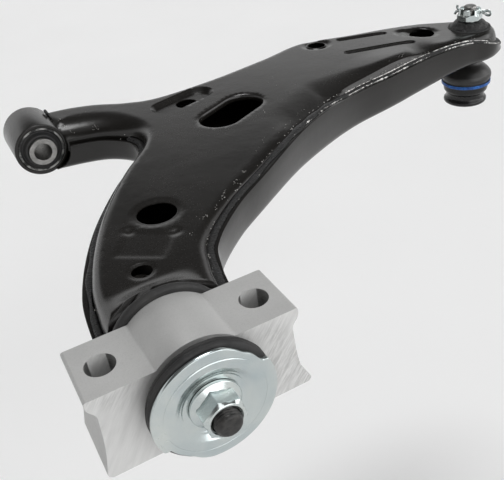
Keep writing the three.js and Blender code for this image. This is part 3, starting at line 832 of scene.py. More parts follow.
def recess_depth(xy):
    """A shallow rectangular flat between the large hole and the drain hole, with two deeper corners."""
    centre = np.array((15.5, 90.0))
    heading = math.radians(-38)
    c, s = math.cos(heading), math.sin(heading)
    rel = xy - centre
    along = rel @ np.array((c, s))
    across = rel @ np.array((-s, c))
    far = np.maximum(np.abs(along) - 15, np.abs(across) - 13)
    flat = 0.45 * (1 - ease(far, -1.2, 1.6))
    corners = sum(1 - ease(np.hypot(along - k * 15, across - 13), 1, 5.5) for k in (-1, 1))
    return flat + 0.9 * corners


def capsule(a, b, radius, spacing=1.1):
    """Points evenly round the line at a distance from the segment a-b."""
    a, b = np.array(a, float), np.array(b, float)
    length = np.linalg.norm(b - a)
    along = (b - a) / length
    side = np.array((-along[1], along[0]))
    steps = np.linspace(0, 1, max(3, int(length / spacing)))[:, None]
    if radius < 0.01:
        return a + (b - a) * steps
    turns = np.linspace(-math.pi / 2, math.pi / 2, max(4, int(math.pi * radius / spacing)))[1:-1, None]
    end_b = b + radius * (along * np.cos(turns) + side * np.sin(turns))
    end_a = a - radius * (along * np.cos(turns) + side * np.sin(turns))
    return np.vstack(
        [a + (b - a) * steps + side * radius, a + (b - a) * steps - side * radius, end_a, end_b]
    )


CELL = 0.7  # the plan keeps one loose point in each square of this size
HOLE_RINGS = (0.8, 1.8, 3.0, 4.4)  # distances of the rings of points from a hole's edge


def as_ring(loop):
    """A bare loop in the form that the ring functions take."""
    return np.hstack([loop, np.zeros((len(loop), 1))])


def near_rings(boundary, holes, margins, pressed):
    """Rings of points inside the boundary, round the pressed features and round the holes."""
    rings = []
    for inset in margins:
        moved = inset_ring(boundary, inset)[:, :2]
        rings.append(moved[nearest_on(boundary, moved)[0] > inset * 0.93])
    for a, b, radii in pressed:
        rings += [capsule(a, b, radius) for radius in radii]
    for hole in holes:
        for inset in HOLE_RINGS:
            moved = inset_ring(as_ring(hole), -inset)[:, :2]
            rings.append(moved[:: 2 if inset > 2 else 1])
    loose = np.vstack(rings)
    for hole in holes:
        ring = as_ring(hole)
        near = nearest_on(ring, loose)[0]
        loose = loose[~inside(ring, loose) & (near > 0.5)]
    return loose[inside(boundary, loose)]


def grid_between(boundary, holes, spacing, margins, pressed):
    """A grid of points over what the rings leave free."""
    low, high = boundary[:, :2].min(0), boundary[:, :2].max(0)
    xs = np.arange(low[0], high[0], spacing)
    ys = np.arange(low[1], high[1], spacing * 0.87)
    grid = np.array([(x + (spacing / 2 if j % 2 else 0), y) for j, y in enumerate(ys) for x in xs])
    grid = grid[inside(boundary, grid)]
    grid = grid[nearest_on(boundary, grid)[0] > max(margins) + spacing * 0.6]
    for a, b, radii in pressed:
        gap = to_segment(grid, a, b)
        grid = grid[(gap < radii[0] - 1.4) | (gap > radii[-1] + 1.2)]
    for hole in holes:
        ring = as_ring(hole)
        grid = grid[~inside(ring, grid) & (nearest_on(ring, grid)[0] > HOLE_RINGS[-1] + 0.8)]
    return grid


def sheet_plan(boundary, holes, spacing, margins, pressed=()):
    """Triangles over a plan area: its boundary and holes, rings of points near them, and a grid between."""
    loose = near_rings(boundary, holes, margins, pressed)
    grid = grid_between(boundary, holes, spacing, margins, pressed)
    cells = {}
    for p in np.vstack([loose, grid]):
        cells.setdefault((int(p[0] // CELL), int(p[1] // CELL)), p)
    points, edges = [], []
    for loop in [boundary[:, :2]] + holes:
        start, n = len(points), len(loop)
        points += [Vector(p) for p in loop]
        edges += [(start + i, start + (i + 1) % n) for i in range(n)]
    points += [Vector(p) for p in cells.values()]
    verts, _, faces, *_ = geometry.delaunay_2d_cdt(points, edges, [], 0, 1e-5)
    verts = np.array([tuple(v) for v in verts])
    middle = np.array([verts[list(f)].mean(0) for f in faces])
    good = inside(boundary, middle)
    for hole in holes:
        good &= ~inside(as_ring(hole), middle)
    return verts, [f for f, g in zip(faces, good) if g]


def round_hole(x, y, radius, count=40):
    angle = np.arange(count) * 2 * math.pi / count
    return np.stack([x + radius * np.cos(angle), y + radius * np.sin(angle)], 1)


def stretched_hole(x, y, radius, heading, stretch):
    """A round hole drawn out along a heading."""
    ring = round_hole(0, 0, radius)
    along = np.array((math.cos(heading), math.sin(heading)))
    return ring + (stretch - 1) * (ring @ along)[:, None] * along + (x, y)


def slot_loop(radius, count=28):
    a, b = np.array(SLOT_A, float), np.array(SLOT_B, float)
    heading = math.atan2(*(b - a)[::-1])
    turn = np.linspace(-math.pi / 2, math.pi / 2, count)
    end_b = np.stack([b[0] + radius * np.cos(heading + turn), b[1] + radius * np.sin(heading + turn)], 1)
    end_a = np.stack([a[0] - radius * np.cos(heading + turn), a[1] - radius * np.sin(heading + turn)], 1)
    straight = np.linspace(0, 1, 12)[1:-1, None]
    side1 = end_b[-1] * (1 - straight) + end_a[0] * straight
    side2 = end_a[-1] * (1 - straight) + end_b[0] * straight
    return np.vstack([end_b, side1, end_a, side2])


def boundary_loops(faces):
    """Edges used by one face only, chained into loops of point numbers."""
    uses = {}
    for face in faces:
        for i, a in enumerate(face):
            b = face[(i + 1) % len(face)]
            uses[(a, b)] = uses.get((a, b), 0) + 1
    follow = {a: b for (a, b) in uses if (b, a) not in uses}
    loops = []
    while follow:
        start = next(iter(follow))
        loop = [start]
        here = follow.pop(start)
        while here != start and here in follow:
            loop.append(here)
            here = follow.pop(here)
        loops.append(loop)
    return loops


def with_walls(points, faces, drops):
    """Adds walls below the sheet's boundary loops: drops(loop) lists the rows of points below a loop."""
    points = [tuple(p) for p in points]
    faces = [tuple(f) for f in faces]
    for loop in boundary_loops(faces):
        xy = np.array([points[i] for i in loop])
        rows = drops(xy)
        above = loop
        for row in rows:
            below = list(range(len(points), len(points) + len(loop)))
            points += [tuple(p) for p in row]
            for k in range(len(loop)):
                n = (k + 1) % len(loop)
                faces.append((above[k], below[k], below[n], above[n]))
            above = below
    return points, faces


def rod(radius, start, end, segments):
    return revolve([(0, start), (radius, start), (radius, end), (0, end)], segments, closed=False)


def pivot_cutter(name, radius, start, end):
    points, faces = rod(radius, start, end, 64)
    return cutter(name, about_pivot(points), faces)


EYE_LOW, EYE_HIGH = node_box("front_eye_tube")
EYE_RADIUS = (EYE_HIGH.x - EYE_LOW.x) / 2
EYE_FROM, EYE_TO = EYE_LOW.y, EYE_HIGH.y
BOSS_LOW, BOSS_HIGH = node_box("ball_joint_boss")
BOSS_RADIUS = (BOSS_HIGH.x - BOSS_LOW.x) / 2
BOSS_BARREL = BOSS_RADIUS - 3.5
COLLAR_RADIUS = 15.3  # clear of the pin's collar
COLLAR_FROM, COLLAR_TO = 20, 44


def shell_from(name, points, faces):
    """A pressed shell from its outer face: thickened inwards, cut for the pin and the eye, edges broken."""
    obj = mesh_object(name, points, faces, COAT)
    sheet = obj.modifiers.new("sheet", "SOLIDIFY")
    sheet.thickness = SHEET * MM
    sheet.offset = -1
    sheet.use_even_offset = True
    sheet.thickness_clamp = 1.0
    clean(obj, outward=False)
    clean(obj)
    pin = pivot_cutter("cut_pin", COLLAR_RADIUS, COLLAR_FROM, COLLAR_TO)
    eye = pivot_cutter("cut_eye", EYE_RADIUS - 0.6, EYE_FROM - 15, EYE_TO + 15)
    carve(obj, pin, eye)
    bevel(obj, 0.45, 50)
    return clean(obj)


def upper_shell():
    holes = [round_hole(x, y, r) for x, y, r in HOLES.values()]
    holes[-1] = stretched_hole(*HOLES["tip"], TIP_HOLE_HEADING, TIP_HOLE_STRETCH)
    holes.append(slot_loop(SLOT_RADIUS))
    holes.append(round_hole(BALL.x, BALL.y, BOSS_BARREL + 0.2, 48))
    margins = (0.25, 0.7, 1.5, CREASE_GAP, 3.6, 5.0, 6.8)
    pressed = []
    for a, b, half, _ in GROOVES:
        pressed.append((a, b, [half * share for share in (0.0, 0.3, 0.45, 0.65, 0.85, 1.05, 1.3)]))
    pressed.append((OVAL_A, OVAL_B, [OVAL_FLOOR, 11.0, 12.4, OVAL_EDGE]))
    plan, faces = sheet_plan(upper_ring, holes, 2.2, margins, pressed)
    z = upper_height(plan)
    points = np.column_stack([plan, z])

    def walls(loop):
        centre = loop[:, :2].mean(0)
        if len(loop) > 200:
            low = skirt_height(loop[:, 0], loop[:, 1])
            rows = [loop[:, 2] * (1 - t) + low * t for t in (0.25, 0.6, 1.0)]
            return [np.column_stack([loop[:, :2], row]) for row in rows]
        if np.hypot(*(centre - (np.array(SLOT_A) + np.array(SLOT_B)) / 2)) < 5:
            return [np.column_stack([loop[:, :2], loop[:, 2] - drop]) for drop in (1.2, 2.6)]
        return []

    points, faces = with_walls(points, faces, walls)
    shell = shell_from("upper_shell_pressing", points, faces)
    return show(shell, "arm", "black_coated_steel", "upper_shell")


def lower_shell():
    corner = 5.0
    full_ring = inset_ring(outline, corner)
    floor_ring = trimmed_ring(outline, corner)
    holes = [round_hole(x, y, r) for x, y, r in DRAINS]
    holes.append(round_hole(BALL.x, BALL.y, BOSS_BARREL + 0.2, 48))
    plan, faces = sheet_plan(floor_ring, holes, 5.0, (1.5, 4.0))
    gap = nearest_on(floor_ring, plan)[0]
    z = floor_z(plan[:, 0]) + 1.2 * ease(gap, 10, 30)
    for x, y, r in DRAINS:
        z += 1.6 * (1 - ease(np.hypot(plan[:, 0] - x, plan[:, 1] - y), r + 1, r + 6))
    points = np.column_stack([plan, z])

    def walls(loop):
        if len(loop) < 200:
            return []
        matched = [int(np.hypot(*(full_ring[:, :2] - p[:2]).T).argmin()) for p in loop]
        rows = []
        for turn in (68, 46, 23, 0):
            angle = math.radians(turn)
            ring = inset_ring(outline, corner * (1 - math.cos(angle)))[matched]
            low = floor_z(ring[:, 0]) + corner * (1 - math.sin(angle))
            rows.append(np.column_stack([ring[:, :2], low]))
        ring = outline[matched]
        low = rows[-1][:, 2]
        high = seam_height(ring[:, 0], ring[:, 1])
        for t in (0.33, 0.66, 1.0):
            rows.append(np.column_stack([ring[:, :2], low * (1 - t) + high * t]))
        return rows

    points, faces = with_walls(points, faces, walls)
    shell = shell_from("lower_shell_pressing", points, faces)
    return show(shell, "arm", "black_coated_steel", "lower_shell")


# ---------------------------------------------------------------------------------------------- welds


def seam_path(start, end, inset, lift):
    """Points along the seam, between two numbered corners of the outline, 0.6 mm apart."""
    chosen = slice(start * CURVE_STEPS, end * CURVE_STEPS + 1)
    ring = inset_ring(outline, inset)[chosen]
    heights = seam_height(outline[chosen, 0], outline[chosen, 1])
    points = np.column_stack([ring[:, :2], heights + lift])
    steps = np.linalg.norm(np.diff(points, axis=0), axis=1)
    run = np.concatenate([[0], np.cumsum(steps)])
    wanted = np.arange(0, run[-1], 0.6)
    return np.column_stack([np.interp(wanted, run, points[:, k]) for k in range(3)])


def bead(name, path, half_width, half_height, node, seed=1, ripple=1.7, sides=12, tilt=0.0):
    """A rippled weld bead along a path."""
    rng = np.random.default_rng(seed)
    count = len(path)
    wander = np.convolve(rng.normal(size=count + 40), np.hanning(41), "same")[20 : 20 + count] * 0.05
    width = 1 + 0.10 * np.sin(np.arange(count) * 0.6 * 2 * math.pi / ripple + wander * 3) + wander
    ends = np.clip(np.minimum(np.arange(count), np.arange(count)[::-1]) / 4, 0.25, 1)

    def section(t):
        k = min(int(round(t * (count - 1))), count - 1)
        offsets = []
        for i in range(sides):
            a = 2 * math.pi * i / sides
            bump = 1 + 0.05 * math.sin(3 * a + k * 0.9)
            side = half_width * width[k] * ends[k] * math.cos(a) * bump
            up = half_height * (0.6 + 0.4 * width[k]) * ends[k] * math.sin(a) * bump
            c, s = math.cos(tilt), math.sin(tilt)
            offsets.append((side * c - up * s, side * s + up * c))
        return offsets

    points, faces = sweep([tuple(p) for p in path], section)
    weld = clean(mesh_object(name, points, faces, WELD), 60)
    return show(weld, "arm", "weld_bead", node)


def blob(centre, size, flat, rng):
    """Points and faces of one small flattened drop."""
    points = []
    faces = []
    squash = (rng.uniform(0.7, 1.3), rng.uniform(0.7, 1.3))
    turn = rng.uniform(0, math.pi)
    for j, (r, z) in enumerate(((1.0, -0.2), (0.85, 0.45), (0.45, 0.85))):
        for k in range(8):
            a = 2 * math.pi * k / 8 + j * 0.2
            x = r * math.cos(a) * squash[0] * size
            y = r * math.sin(a) * squash[1] * size
            x, y = x * math.cos(turn) - y * math.sin(turn), x * math.sin(turn) + y * math.cos(turn)
            points.append((centre[0] + x, centre[1] + y, centre[2] + z * size * flat))
    points.append((centre[0], centre[1], centre[2] + size * flat))
    points.append((centre[0], centre[1], centre[2] - 0.5 * size * flat))
    for j in range(2):
        for k in range(8):
            n = (k + 1) % 8
            faces.append((j * 8 + k, j * 8 + n, j * 8 + 8 + n, j * 8 + 8 + k))
    for k in range(8):
        n = (k + 1) % 8
        faces.append((16 + k, 16 + n, 24))
        faces.append((n, k, 25))
    return points, faces


def merge(parts):
    points, faces = [], []
    for p, f in parts:
        base = len(points)
        points += list(p)
        faces += [tuple(i + base for i in face) for face in f]
    return points, faces


def surface_z(x, y):
    return float(upper_height(np.array([[x, y]], float))[0])


def spatter_and_glints():
    """Drops thrown by the welding in clusters on the top, and light drops along both toes of the seams that
    stand in for glints of light there: painted highlights.
    """
    rng = random.Random(11)
    parts = []
    for start, end, share in ((0, 11, 0.10), (13, 21, 0.03), (26, 35, 0.03)):
        # The light drops along the toes are painted highlights: specks placed where glints of light fall on
        # the weld.
        for inset, lift in ((0.2, -0.1), (3.4, 3.4)):
            for p in seam_path(start, end, inset, lift):
                if rng.random() > share:
                    continue
                size = rng.uniform(0.18, 0.5)
                spread = ((-0.4, 0.4), (-0.4, 0.4), (-0.5, 1.0))
                place = [value + rng.uniform(*limits) for value, limits in zip(p, spread)]
                parts.append(blob(place, size, 0.8, rng))
    # Each cluster: the ends of the line that it follows, and its number of drops
    clusters = [
        ((72, 106), (82, 116), 14), ((90, 121), (96, 125), 9), ((101, 130), (104, 133), 5),
        ((66, 100), (70, 104), 5), ((58, 103), (57, 94), 5), ((54, 98), (53, 91), 4),
        ((40, 84), (43, 82), 4), ((120, 150), (150, 176), 7), ((150, 168), (190, 196), 9),
        ((24, 303), (25, 297), 9), ((22, 310), (24, 307), 7), ((27, 294), (26, 291), 5),
        ((14, 317), (19, 314), 7), ((43, 287), (47, 284), 11), ((160, 205), (164, 214), 5),
        ((285, 225), (330, 236), 8),
    ]
    for a, b, count in clusters:
        for _ in range(count):
            t = rng.random()
            x = a[0] + (b[0] - a[0]) * t + rng.gauss(0, 0.9)
            y = a[1] + (b[1] - a[1]) * t + rng.gauss(0, 0.9)
            if inside(upper_ring, np.array([[x, y]], float))[0]:
                parts.append(blob((x, y, surface_z(x, y) - 0.05), rng.uniform(0.14, 0.42), 0.4, rng))
    points, faces = merge(parts)
    drops = clean(mesh_object("weld_spatter_and_glints", points, faces, SPATTER_AND_GLINT_PAINT), 50)
    return show(drops, "arm", "weld_bead")


def eye_beads():
    """Weld beads in the corners between the eye tube and the two shells."""
    for node in ("eye_weld_upper", "eye_weld_lower"):
        low, high = node_box(node)
        middle = (low + high) / 2
        half = (high.x - low.x) / 2
        ys = np.arange(low.y + 0.6, high.y - 0.4, 0.6)
        path = np.column_stack([np.full(len(ys), middle.x), ys, np.full(len(ys), middle.z)])
        bead(node + "_bead", path, half * 1.35, half * 1.1, node, seed=5)


def painted_toe_glints(name, path, width, seed):
    """A thin ragged line of painted glints: bright specks that stand in for highlights along one toe of a
    weld.
    """
    rng = np.random.default_rng(seed)
    count = len(path)
    noise_run = np.convolve(rng.normal(size=count + 8), np.hanning(5), "same")[4 : 4 + count]
    size = np.clip(0.75 + 0.3 * noise_run, 0.25, 1.5)

    def section(t):
        k = int(round(t * (count - 1)))
        return [(x * width * size[k], z * width * size[k]) for x, z in circle(1.0, 6)]

    points, faces = sweep([tuple(p) for p in path], section)
    return show(clean(mesh_object(name, points, faces, GLINT_PAINT), 60), "arm", "weld_bead")


def seam_beads():
    path = seam_path(0, 12, 2.3, -0.2)
    bead("seam_bead_outboard", path, 2.9, 1.7, "seam_weld_outboard", 2, tilt=0.1)
    for side, start, end, seed in (("front", 13, 22, 3), ("inboard", 27, 36, 4)):
        path = seam_path(start, end, 1.6, 0.7)
        bead("seam_bead_" + side, path, 2.3, 2.3, "seam_weld_" + side, seed, tilt=0.5)
    # Two lines of painted highlights along the seam's toes.
    painted_toe_glints("seam_toe_low", seam_path(5, 11, 0.0, 0.4), 0.6, 8)
    painted_toe_glints("seam_toe_high", seam_path(6, 10, 3.8, 1.5), 0.55, 9)


# ---------------------------------------------------------------------------------------------- rear bush


BUSH_BORE = 24
BOLT_X, BOLT_BORE = 40, 7.6  # the two bolt holes: distance from the pivot, and radius
SAWN_SLOT, BORE_SLOT = 1, 2
# Nicks in the bracket's outboard rear corner: centre and size
NICKS = (
    ((56.2, -19.3, 6), 1.1), ((55.4, -19.4, 9.5), 0.8), ((53.8, -19.3, 14), 0.7), ((51.8, -19.3, 30), 0.5),
)
PAD_TOP, HUMP_RADIUS, PAD_HALF = 51, 29, 54


def bracket_profile():
    """Outline of the extruded bracket seen from the rear: (x, z) with a corner radius each."""
    low, high = node_box("rear_bracket")
    half, pad, hump = PAD_HALF, PAD_TOP, HUMP_RADIUS
    foot_left, foot_right = low.x, high.x
    arc_start = math.asin((pad - PIVOT.z) / hump)
    arc = [
        (hump * math.cos(a), PIVOT.z + hump * math.sin(a))
        for a in np.linspace(arc_start, math.pi - arc_start, 25)
    ]
    profile = [
        (foot_left + 2, 0, 1), (foot_right - 2, 0, 1), (foot_right, 2, 1.5), (52.4, 12, 6),
        (50.8, 24, 6), (50, 41, 2.2), (half, 46, 2.2), (half, pad, 1.6),
    ]
    profile += [(x, z, 0.8 if 0 < i < 24 else 1.6) for i, (x, z) in enumerate(arc)]
    profile += [
        (-half, pad, 1.6), (-half, 46, 2.2), (-50, 41, 2.2), (-50.8, 24, 6), (-52.4, 12, 6),
        (foot_left, 2, 1.5),
    ]
    return soften(profile, 1.0, 4)


def rear_bracket():
    low, high = node_box("rear_bracket")
    profile = bracket_profile()
    count = len(profile)
    ys = [low.y, high.y]
    points = [(x, y, z) for y in ys for x, z in profile]
    faces = [tuple(range(count)), tuple(range(2 * count - 1, count - 1, -1))]
    faces += [(i, (i + 1) % count, count + (i + 1) % count, count + i) for i in range(count)]
    body = mesh_object("extruded_bracket", points, faces, EXTRUDED, SAWN, BORE)
    round_ends(clean(body))
    carve(body, pivot_cutter("cut_bore", BUSH_BORE, -30, 30))
    for side in (-1, 1):
        points, faces = rod(BOLT_BORE, -5, 60, 48)
        carve(body, cutter("cut_bolt", [(x + side * BOLT_X, y, z) for x, y, z in points], faces))
    for centre, size in NICKS:
        corners = [[value * size + middle for value, middle in zip(p, centre)] for p in OCTAHEDRON]
        carve(body, cutter("cut_nick", corners, OCTAHEDRON_FACES))
    bevel(body, 0.7, 50, 3)
    clean(body, 28)
    for face in body.data.polygons:
        centre = face.center / MM
        ring = math.hypot(centre.x, centre.z - PIVOT.z)
        bolt_hole = min(math.hypot(centre.x - side * BOLT_X, centre.y) for side in (-1, 1))
        if abs(face.normal.y) > 0.8:
            face.material_index = SAWN_SLOT
        elif ring < BUSH_BORE + 0.3 or (bolt_hole < BOLT_BORE + 0.3 and abs(face.normal.z) < 0.3):
            face.material_index = BORE_SLOT
    return show(body, "bracket", "cast_aluminium", "rear_bracket")


def round_ends(body):
    """Rounds the bracket's upright corner edges, where its sawn faces meet its side walls."""
    work = bmesh.new()
    work.from_mesh(body.data)
    low, high = node_box("rear_bracket")
    chosen = []
    for edge in work.edges:
        a, b = (v.co / MM for v in edge.verts)
        on_face = abs(a.y - b.y) < 0.01 and min(abs(a.y - low.y), abs(a.y - high.y)) < 0.01
        if on_face and min(abs(a.x), abs(b.x)) > 48.5 and max(a.z, b.z) > 0.5:
            chosen.append(edge)
    bmesh.ops.bevel(
        work, geom=chosen, offset=2.4 * MM, segments=5, profile=0.5, affect="EDGES", clamp_overlap=True
    )
    work.to_mesh(body.data)
    work.free()


OCTAHEDRON = [(1.2, 0, 0), (-1.2, 0, 0), (0, 1, 0), (0, -1, 0), (0, 0, 1.5), (0, 0, -1.5)]
OCTAHEDRON_FACES = [
    (0, 2, 4), (2, 1, 4), (1, 3, 4), (3, 0, 4), (2, 0, 5), (1, 2, 5), (3, 1, 5), (0, 3, 5)
]


def ring_profile(inner, outer, start, end):
    return [(inner, start), (outer, start), (outer, end), (inner, end)]


WASHER_LOBE, WASHER_FLAT = 31.9, 29.2
WASHER_SEAT, WASHER_RIM = -31.4, -34.4
WASHER_SHEET = 2.4
RUBBER_BACK = -25.5
REAR_FACE = 23.6
SLEEVE_BORE, SLEEVE_OUTER = 9.3, 12.6
PIN_THREAD, STUD_THREAD = 6.85, 6.0  # radii over the thread
THREAD_PITCH, THREAD_STEP = 1.5, 0.19  # the pitch, and the spacing of the rings that draw it


def lobed(angle):
    """The cupped washer's rim at an angle: its share of the full radius, and how ragged its cut edge is."""
    degrees = math.degrees(angle)
    trimmed = 0.0
    for sharp, far in ((27.5, 78), (207.5, 256)):
        for turn in (-360, 0, 360):
            here = degrees + turn
            trimmed = max(
                trimmed, float(ease(here, sharp - 1.5, sharp + 1.5) * (1 - ease(here, far - 26, far + 4)))
            )
    ragged = 0.3 * noise.noise(
        (5 * math.cos(angle), 5 * math.sin(angle), 0.3)
    ) + 0.12 * math.sin(19 * angle)
    return 1 - trimmed, ragged * trimmed


def cupped_washer():
    t = WASHER_SHEET
    rim = WASHER_RIM
    front = [
        (7.4, WASHER_SEAT, 0.3), (16.0, WASHER_SEAT, 1.0), (16.9, WASHER_SEAT - 0.55, 0.6),
        (17.6, WASHER_SEAT - 0.7, 0.8), (21.6, rim - 0.1, 2.6), (24.6, rim + 0.1, 1.0),
        (25.7, rim + 0.12, 0.3), (26.1, rim + 0.5, 0.25), (26.5, rim + 0.28, 0.3),
        (29.0, rim + 0.35, 1.2),
    ]
    edge = [
        (WASHER_LOBE - 0.3, rim + 0.6, 0.9), (WASHER_LOBE, rim + 1.3, 0.5), (WASHER_LOBE, rim + t, 0.3)
    ]
    back = [(20.4, rim + t, 2), (17.4, WASHER_SEAT + t, 2), (7.4, WASHER_SEAT + t, 0.3)]
    profile = soften(front + edge + back, 0.5, 4)
    inner = 27.5

    def shape(r, s, angle):
        if r < inner:
            return r, s
        lobe, ragged = lobed(angle)
        outer = WASHER_FLAT + (WASHER_LOBE - WASHER_FLAT) * lobe + ragged
        return inner + (r - inner) * (outer - inner) / (WASHER_LOBE - inner), s

    disc = turned("cupped_washer_pressing", about_pivot, profile, ZINC, 240, shape, sharp=38)
    return show(disc, "arm", "zinc_plated_steel", "cupped_washer")


def hexagon(across_flats, flat_angle):
    """Radius of a hexagon at an angle, its flats facing flat_angle and every sixth of a turn on."""
    def radius(angle):
        step = math.pi / 3
        local = (angle - flat_angle + step / 2) % step - step / 2
        return across_flats / 2 / math.cos(local)
    return radius


def helix(radius, depth, pitch):
    """A shape function that cuts a thread into the outermost radius of a profile."""
    def shape(r, s, angle):
        if r < radius - 0.02:
            return r, s
        phase = (s / pitch - angle / (2 * math.pi)) % 1.0
        return r - depth * (1 - abs(2 * phase - 1)) ** 0.9, s
    return shape


def fine(start, end, radius, step):
    count = max(2, int(abs(end - start) / step) + 1)
    return [(radius, float(s)) for s in np.linspace(start, end, count)]


def flange_nut():
    base = WASHER_SEAT - 0.3
    top = base - 13.0
    bore_radius = 7.1
    hexed = hexagon(19.6, math.radians(12))
    flange = [
        (bore_radius, base, 0.1), (13.2, base, 0.2), (13.4, base - 1.5, 0.6), (9.79, base - 3.3, 0.5)
    ]
    crown = [
        (11.32, base - 3.4, 0.02), (11.32, top + 2.0, 0.3), (9.2, top + 0.1, 0.5), (8.3, top, 0.3),
        (bore_radius, top + 1.1, 0.2),
    ]
    bore = [(bore_radius, float(s)) for s in np.linspace(top + 2, base, 8)][:-1]
    profile = soften(flange + crown, 0.4, 4)[:-1] + bore

    def shape(r, s, angle):
        if s < base - 3.2 and r > 9.3:
            return min(r, hexed(angle)), s
        return r, s

    nut = turned("flange_nut_forging", about_pivot, profile, ZINC, 180, shape, sharp=24)
    return show(nut, "arm", "zinc_plated_steel", "flange_nut")


def rear_pin():
    shoulder = WASHER_SEAT + WASHER_SHEET + 0.6
    tip = -49.0
    nose = [
        (0, tip), (4.6, tip + 0.05, 0.6), (5.6, tip + 0.5, 0.5), (6.0, tip + 1.0, 0.3),
        (6.75, tip + 1.9, 0.2),
    ]
    profile = soften(nose, 0.3, 3, closed=False)[:-1]
    profile += fine(tip + 1.9, shoulder - 2, PIN_THREAD, THREAD_STEP)
    profile += [
        (6.7, shoulder), (9.0, shoulder), (9.0, 26.7), (15, 26.7), (15, 31.7), (8, 31.7), (8, 71),
        (7, 72), (0, 72),
    ]
    thread = helix(PIN_THREAD, 0.7, THREAD_PITCH)
    pin = turned("rear_pin_turning", about_pivot, profile, THREAD, 72, thread, closed=False, sharp=40)
    return show(pin, "arm", "black_steel", "rear_pin")


def rear_bush():
    sleeve = turned(
        "bush_outer_sleeve", about_pivot, soften(ring_profile(21.9, 23.75, -18.6, 18.6), 0.3), STEEL
    )
    show(sleeve, "bracket", "bare_steel", "rear_bush_outer_sleeve")
    seat_back = WASHER_SEAT + WASHER_SHEET + 0.2
    rim_back = WASHER_RIM + WASHER_SHEET + 0.25
    near, far = RUBBER_BACK, 19.2
    inner = SLEEVE_OUTER + 0.2
    profile = [
        (inner, seat_back), (21, seat_back), (22.5, rim_back), (30.0, rim_back + 0.1, 1),
        (32.0, rim_back + 0.9, 1.2), (32.8, rim_back + 2.6, 1.2), (32.2, rim_back + 3.4, 0.6),
        (32.8, rim_back + 4.2, 1.0), (32.6, near - 0.9, 1.2), (31.2, near, 1.0),
        (26.0, near + 0.2, 1.0), (21.7, near + 1.5, 1), (21.7, far), (31, far, 0.6),
        (32.6, far + 1.2, 1), (32.6, REAR_FACE - 1, 0.8), (32, REAR_FACE, 0.6), (inner, REAR_FACE),
    ]

    def shape(r, s, angle):
        if r < 26 or s > 0:
            return r, s
        oval = 1.1 * math.cos(2 * (angle - math.radians(105)))
        wobble = 0.3 * noise.noise((5 * math.cos(angle), 5 * math.sin(angle), s * 0.2))
        return r + (oval + wobble) * (r - 26) / 6.8, s

    rubber = turned(
        "bush_rubber_spool", about_pivot, soften(profile, 0.4, 4), RUBBER, 160, shape, sharp=40
    )
    show(rubber, "bracket", "black_rubber", "rear_bush_rubber")
    inner_sleeve = turned(
        "bush_inner_sleeve", about_pivot,
        soften(ring_profile(SLEEVE_BORE, SLEEVE_OUTER, seat_back + 0.1, REAR_FACE), 0.3), STEEL,
    )
    show(inner_sleeve, "arm", "bare_steel", "rear_bush_inner_sleeve")
    stop = turned(
        "stop_washer_disc", about_pivot, soften(ring_profile(9.3, 26, REAR_FACE + 0.3, 26.4), 0.5), ZINC
    )
    show(stop, "arm", "zinc_plated_steel", "rear_stop_washer")
    tube = turned("pin_tube", about_pivot, soften(ring_profile(8.3, 10.8, 36, 69), 0.5), COAT)
    show(tube, "arm", "black_coated_steel", "pin_support_tube")


# ---------------------------------------------------------------------------------------------- front bush


def front_bush():
    start, end = EYE_FROM, EYE_TO
    wall = 2.9
    inner = EYE_RADIUS - wall
    profile = soften(
        [(inner, start, 0.8), (EYE_RADIUS, start, 0.9), (EYE_RADIUS, end, 0.9), (inner, end, 0.8)], 0.8, 4
    )
    tube = turned("eye_tube_forging", about_pivot, profile, COAT, 128)
    show(tube, "arm", "black_coated_steel", "front_eye_tube")
    sleeve_outer, sleeve_inner = inner - 0.12, inner - 1.7
    sleeve = turned(
        "eye_sleeve", about_pivot,
        soften(ring_profile(sleeve_inner, sleeve_outer, start + 0.3, end - 0.3), 0.35, 3), RING_STEEL,
        128,
    )
    show(sleeve, "arm", "bare_steel", "front_bush_outer_sleeve")
    bore, core = 7.0, 11.1
    face = 2.4
    profile = [
        (core + 0.1, start - 1.5, 0.4), (core + 1.8, start - 1.6, 0.9), (core + 3.2, start + 1.8, 2),
        (sleeve_inner - 1.4, start + face, 1), (sleeve_inner - 0.05, start + 1.0, 0.3),
        (sleeve_inner - 0.05, end - 1.0, 0.3), (sleeve_inner - 1.4, end - face, 1),
        (core + 3.2, end - 1.8, 2), (core + 1.8, end + 1.6, 0.9), (core + 0.1, end + 1.5, 0.4),
    ]
    rubber = turned("eye_rubber", about_pivot, soften(profile, 0.5, 4), RUBBER, 96)
    show(rubber, "arm", "black_rubber", "front_bush_rubber")
    reach = 5
    profile = soften(
        [
            (bore, start - reach, 0.8), (core, start - reach, 0.7), (core, end + reach, 0.7),
            (bore, end + reach, 0.8),
        ],
        0.8, 3,
    )
    core_tube = turned("eye_inner_sleeve", about_pivot, profile, STEEL, 96)
    show(core_tube, "front_sleeve", "bare_steel", "front_bush_inner_sleeve")


# ---------------------------------------------------------------------------------------------- ball joint

COTTER_TURN = math.radians(-59)
STUD_TOP = node_box("ball_stud")[1].z
NUT_BASE = node_box("castle_nut")[0].z
NUT_HEIGHT = 11.0
SLOT_DEPTH = 4.6
COTTER_Z = 48.8
TAPER_TOP = 38.0
BALL_RADIUS = 11.5
STUD_NECK = 6
CAVITY = 14.3  # radius of the housing's hollow
MOUTH = 13.0  # the housing's mouth is at least this wide in radius, clear of the tilted stud


def ball_arc(radius, start, end, count):
    """Points of a profile on a sphere about the ball's centre, between two angles above its equator."""
    angles = np.linspace(start, end, count)
    return [(radius * math.cos(a), BALL.z + radius * math.sin(a)) for a in angles]


def about_cotter(points):
    """From a frame whose X lies along the split pin to the part's frame."""
    c, s = math.cos(COTTER_TURN), math.sin(COTTER_TURN)
    return [(BALL.x + x * c - y * s, BALL.y + x * s + y * c, z + COTTER_Z) for x, y, z in points]


def taper(z):
    return 8.2 + (z - 5) / (TAPER_TOP - 5) * (6.3 - 8.2)


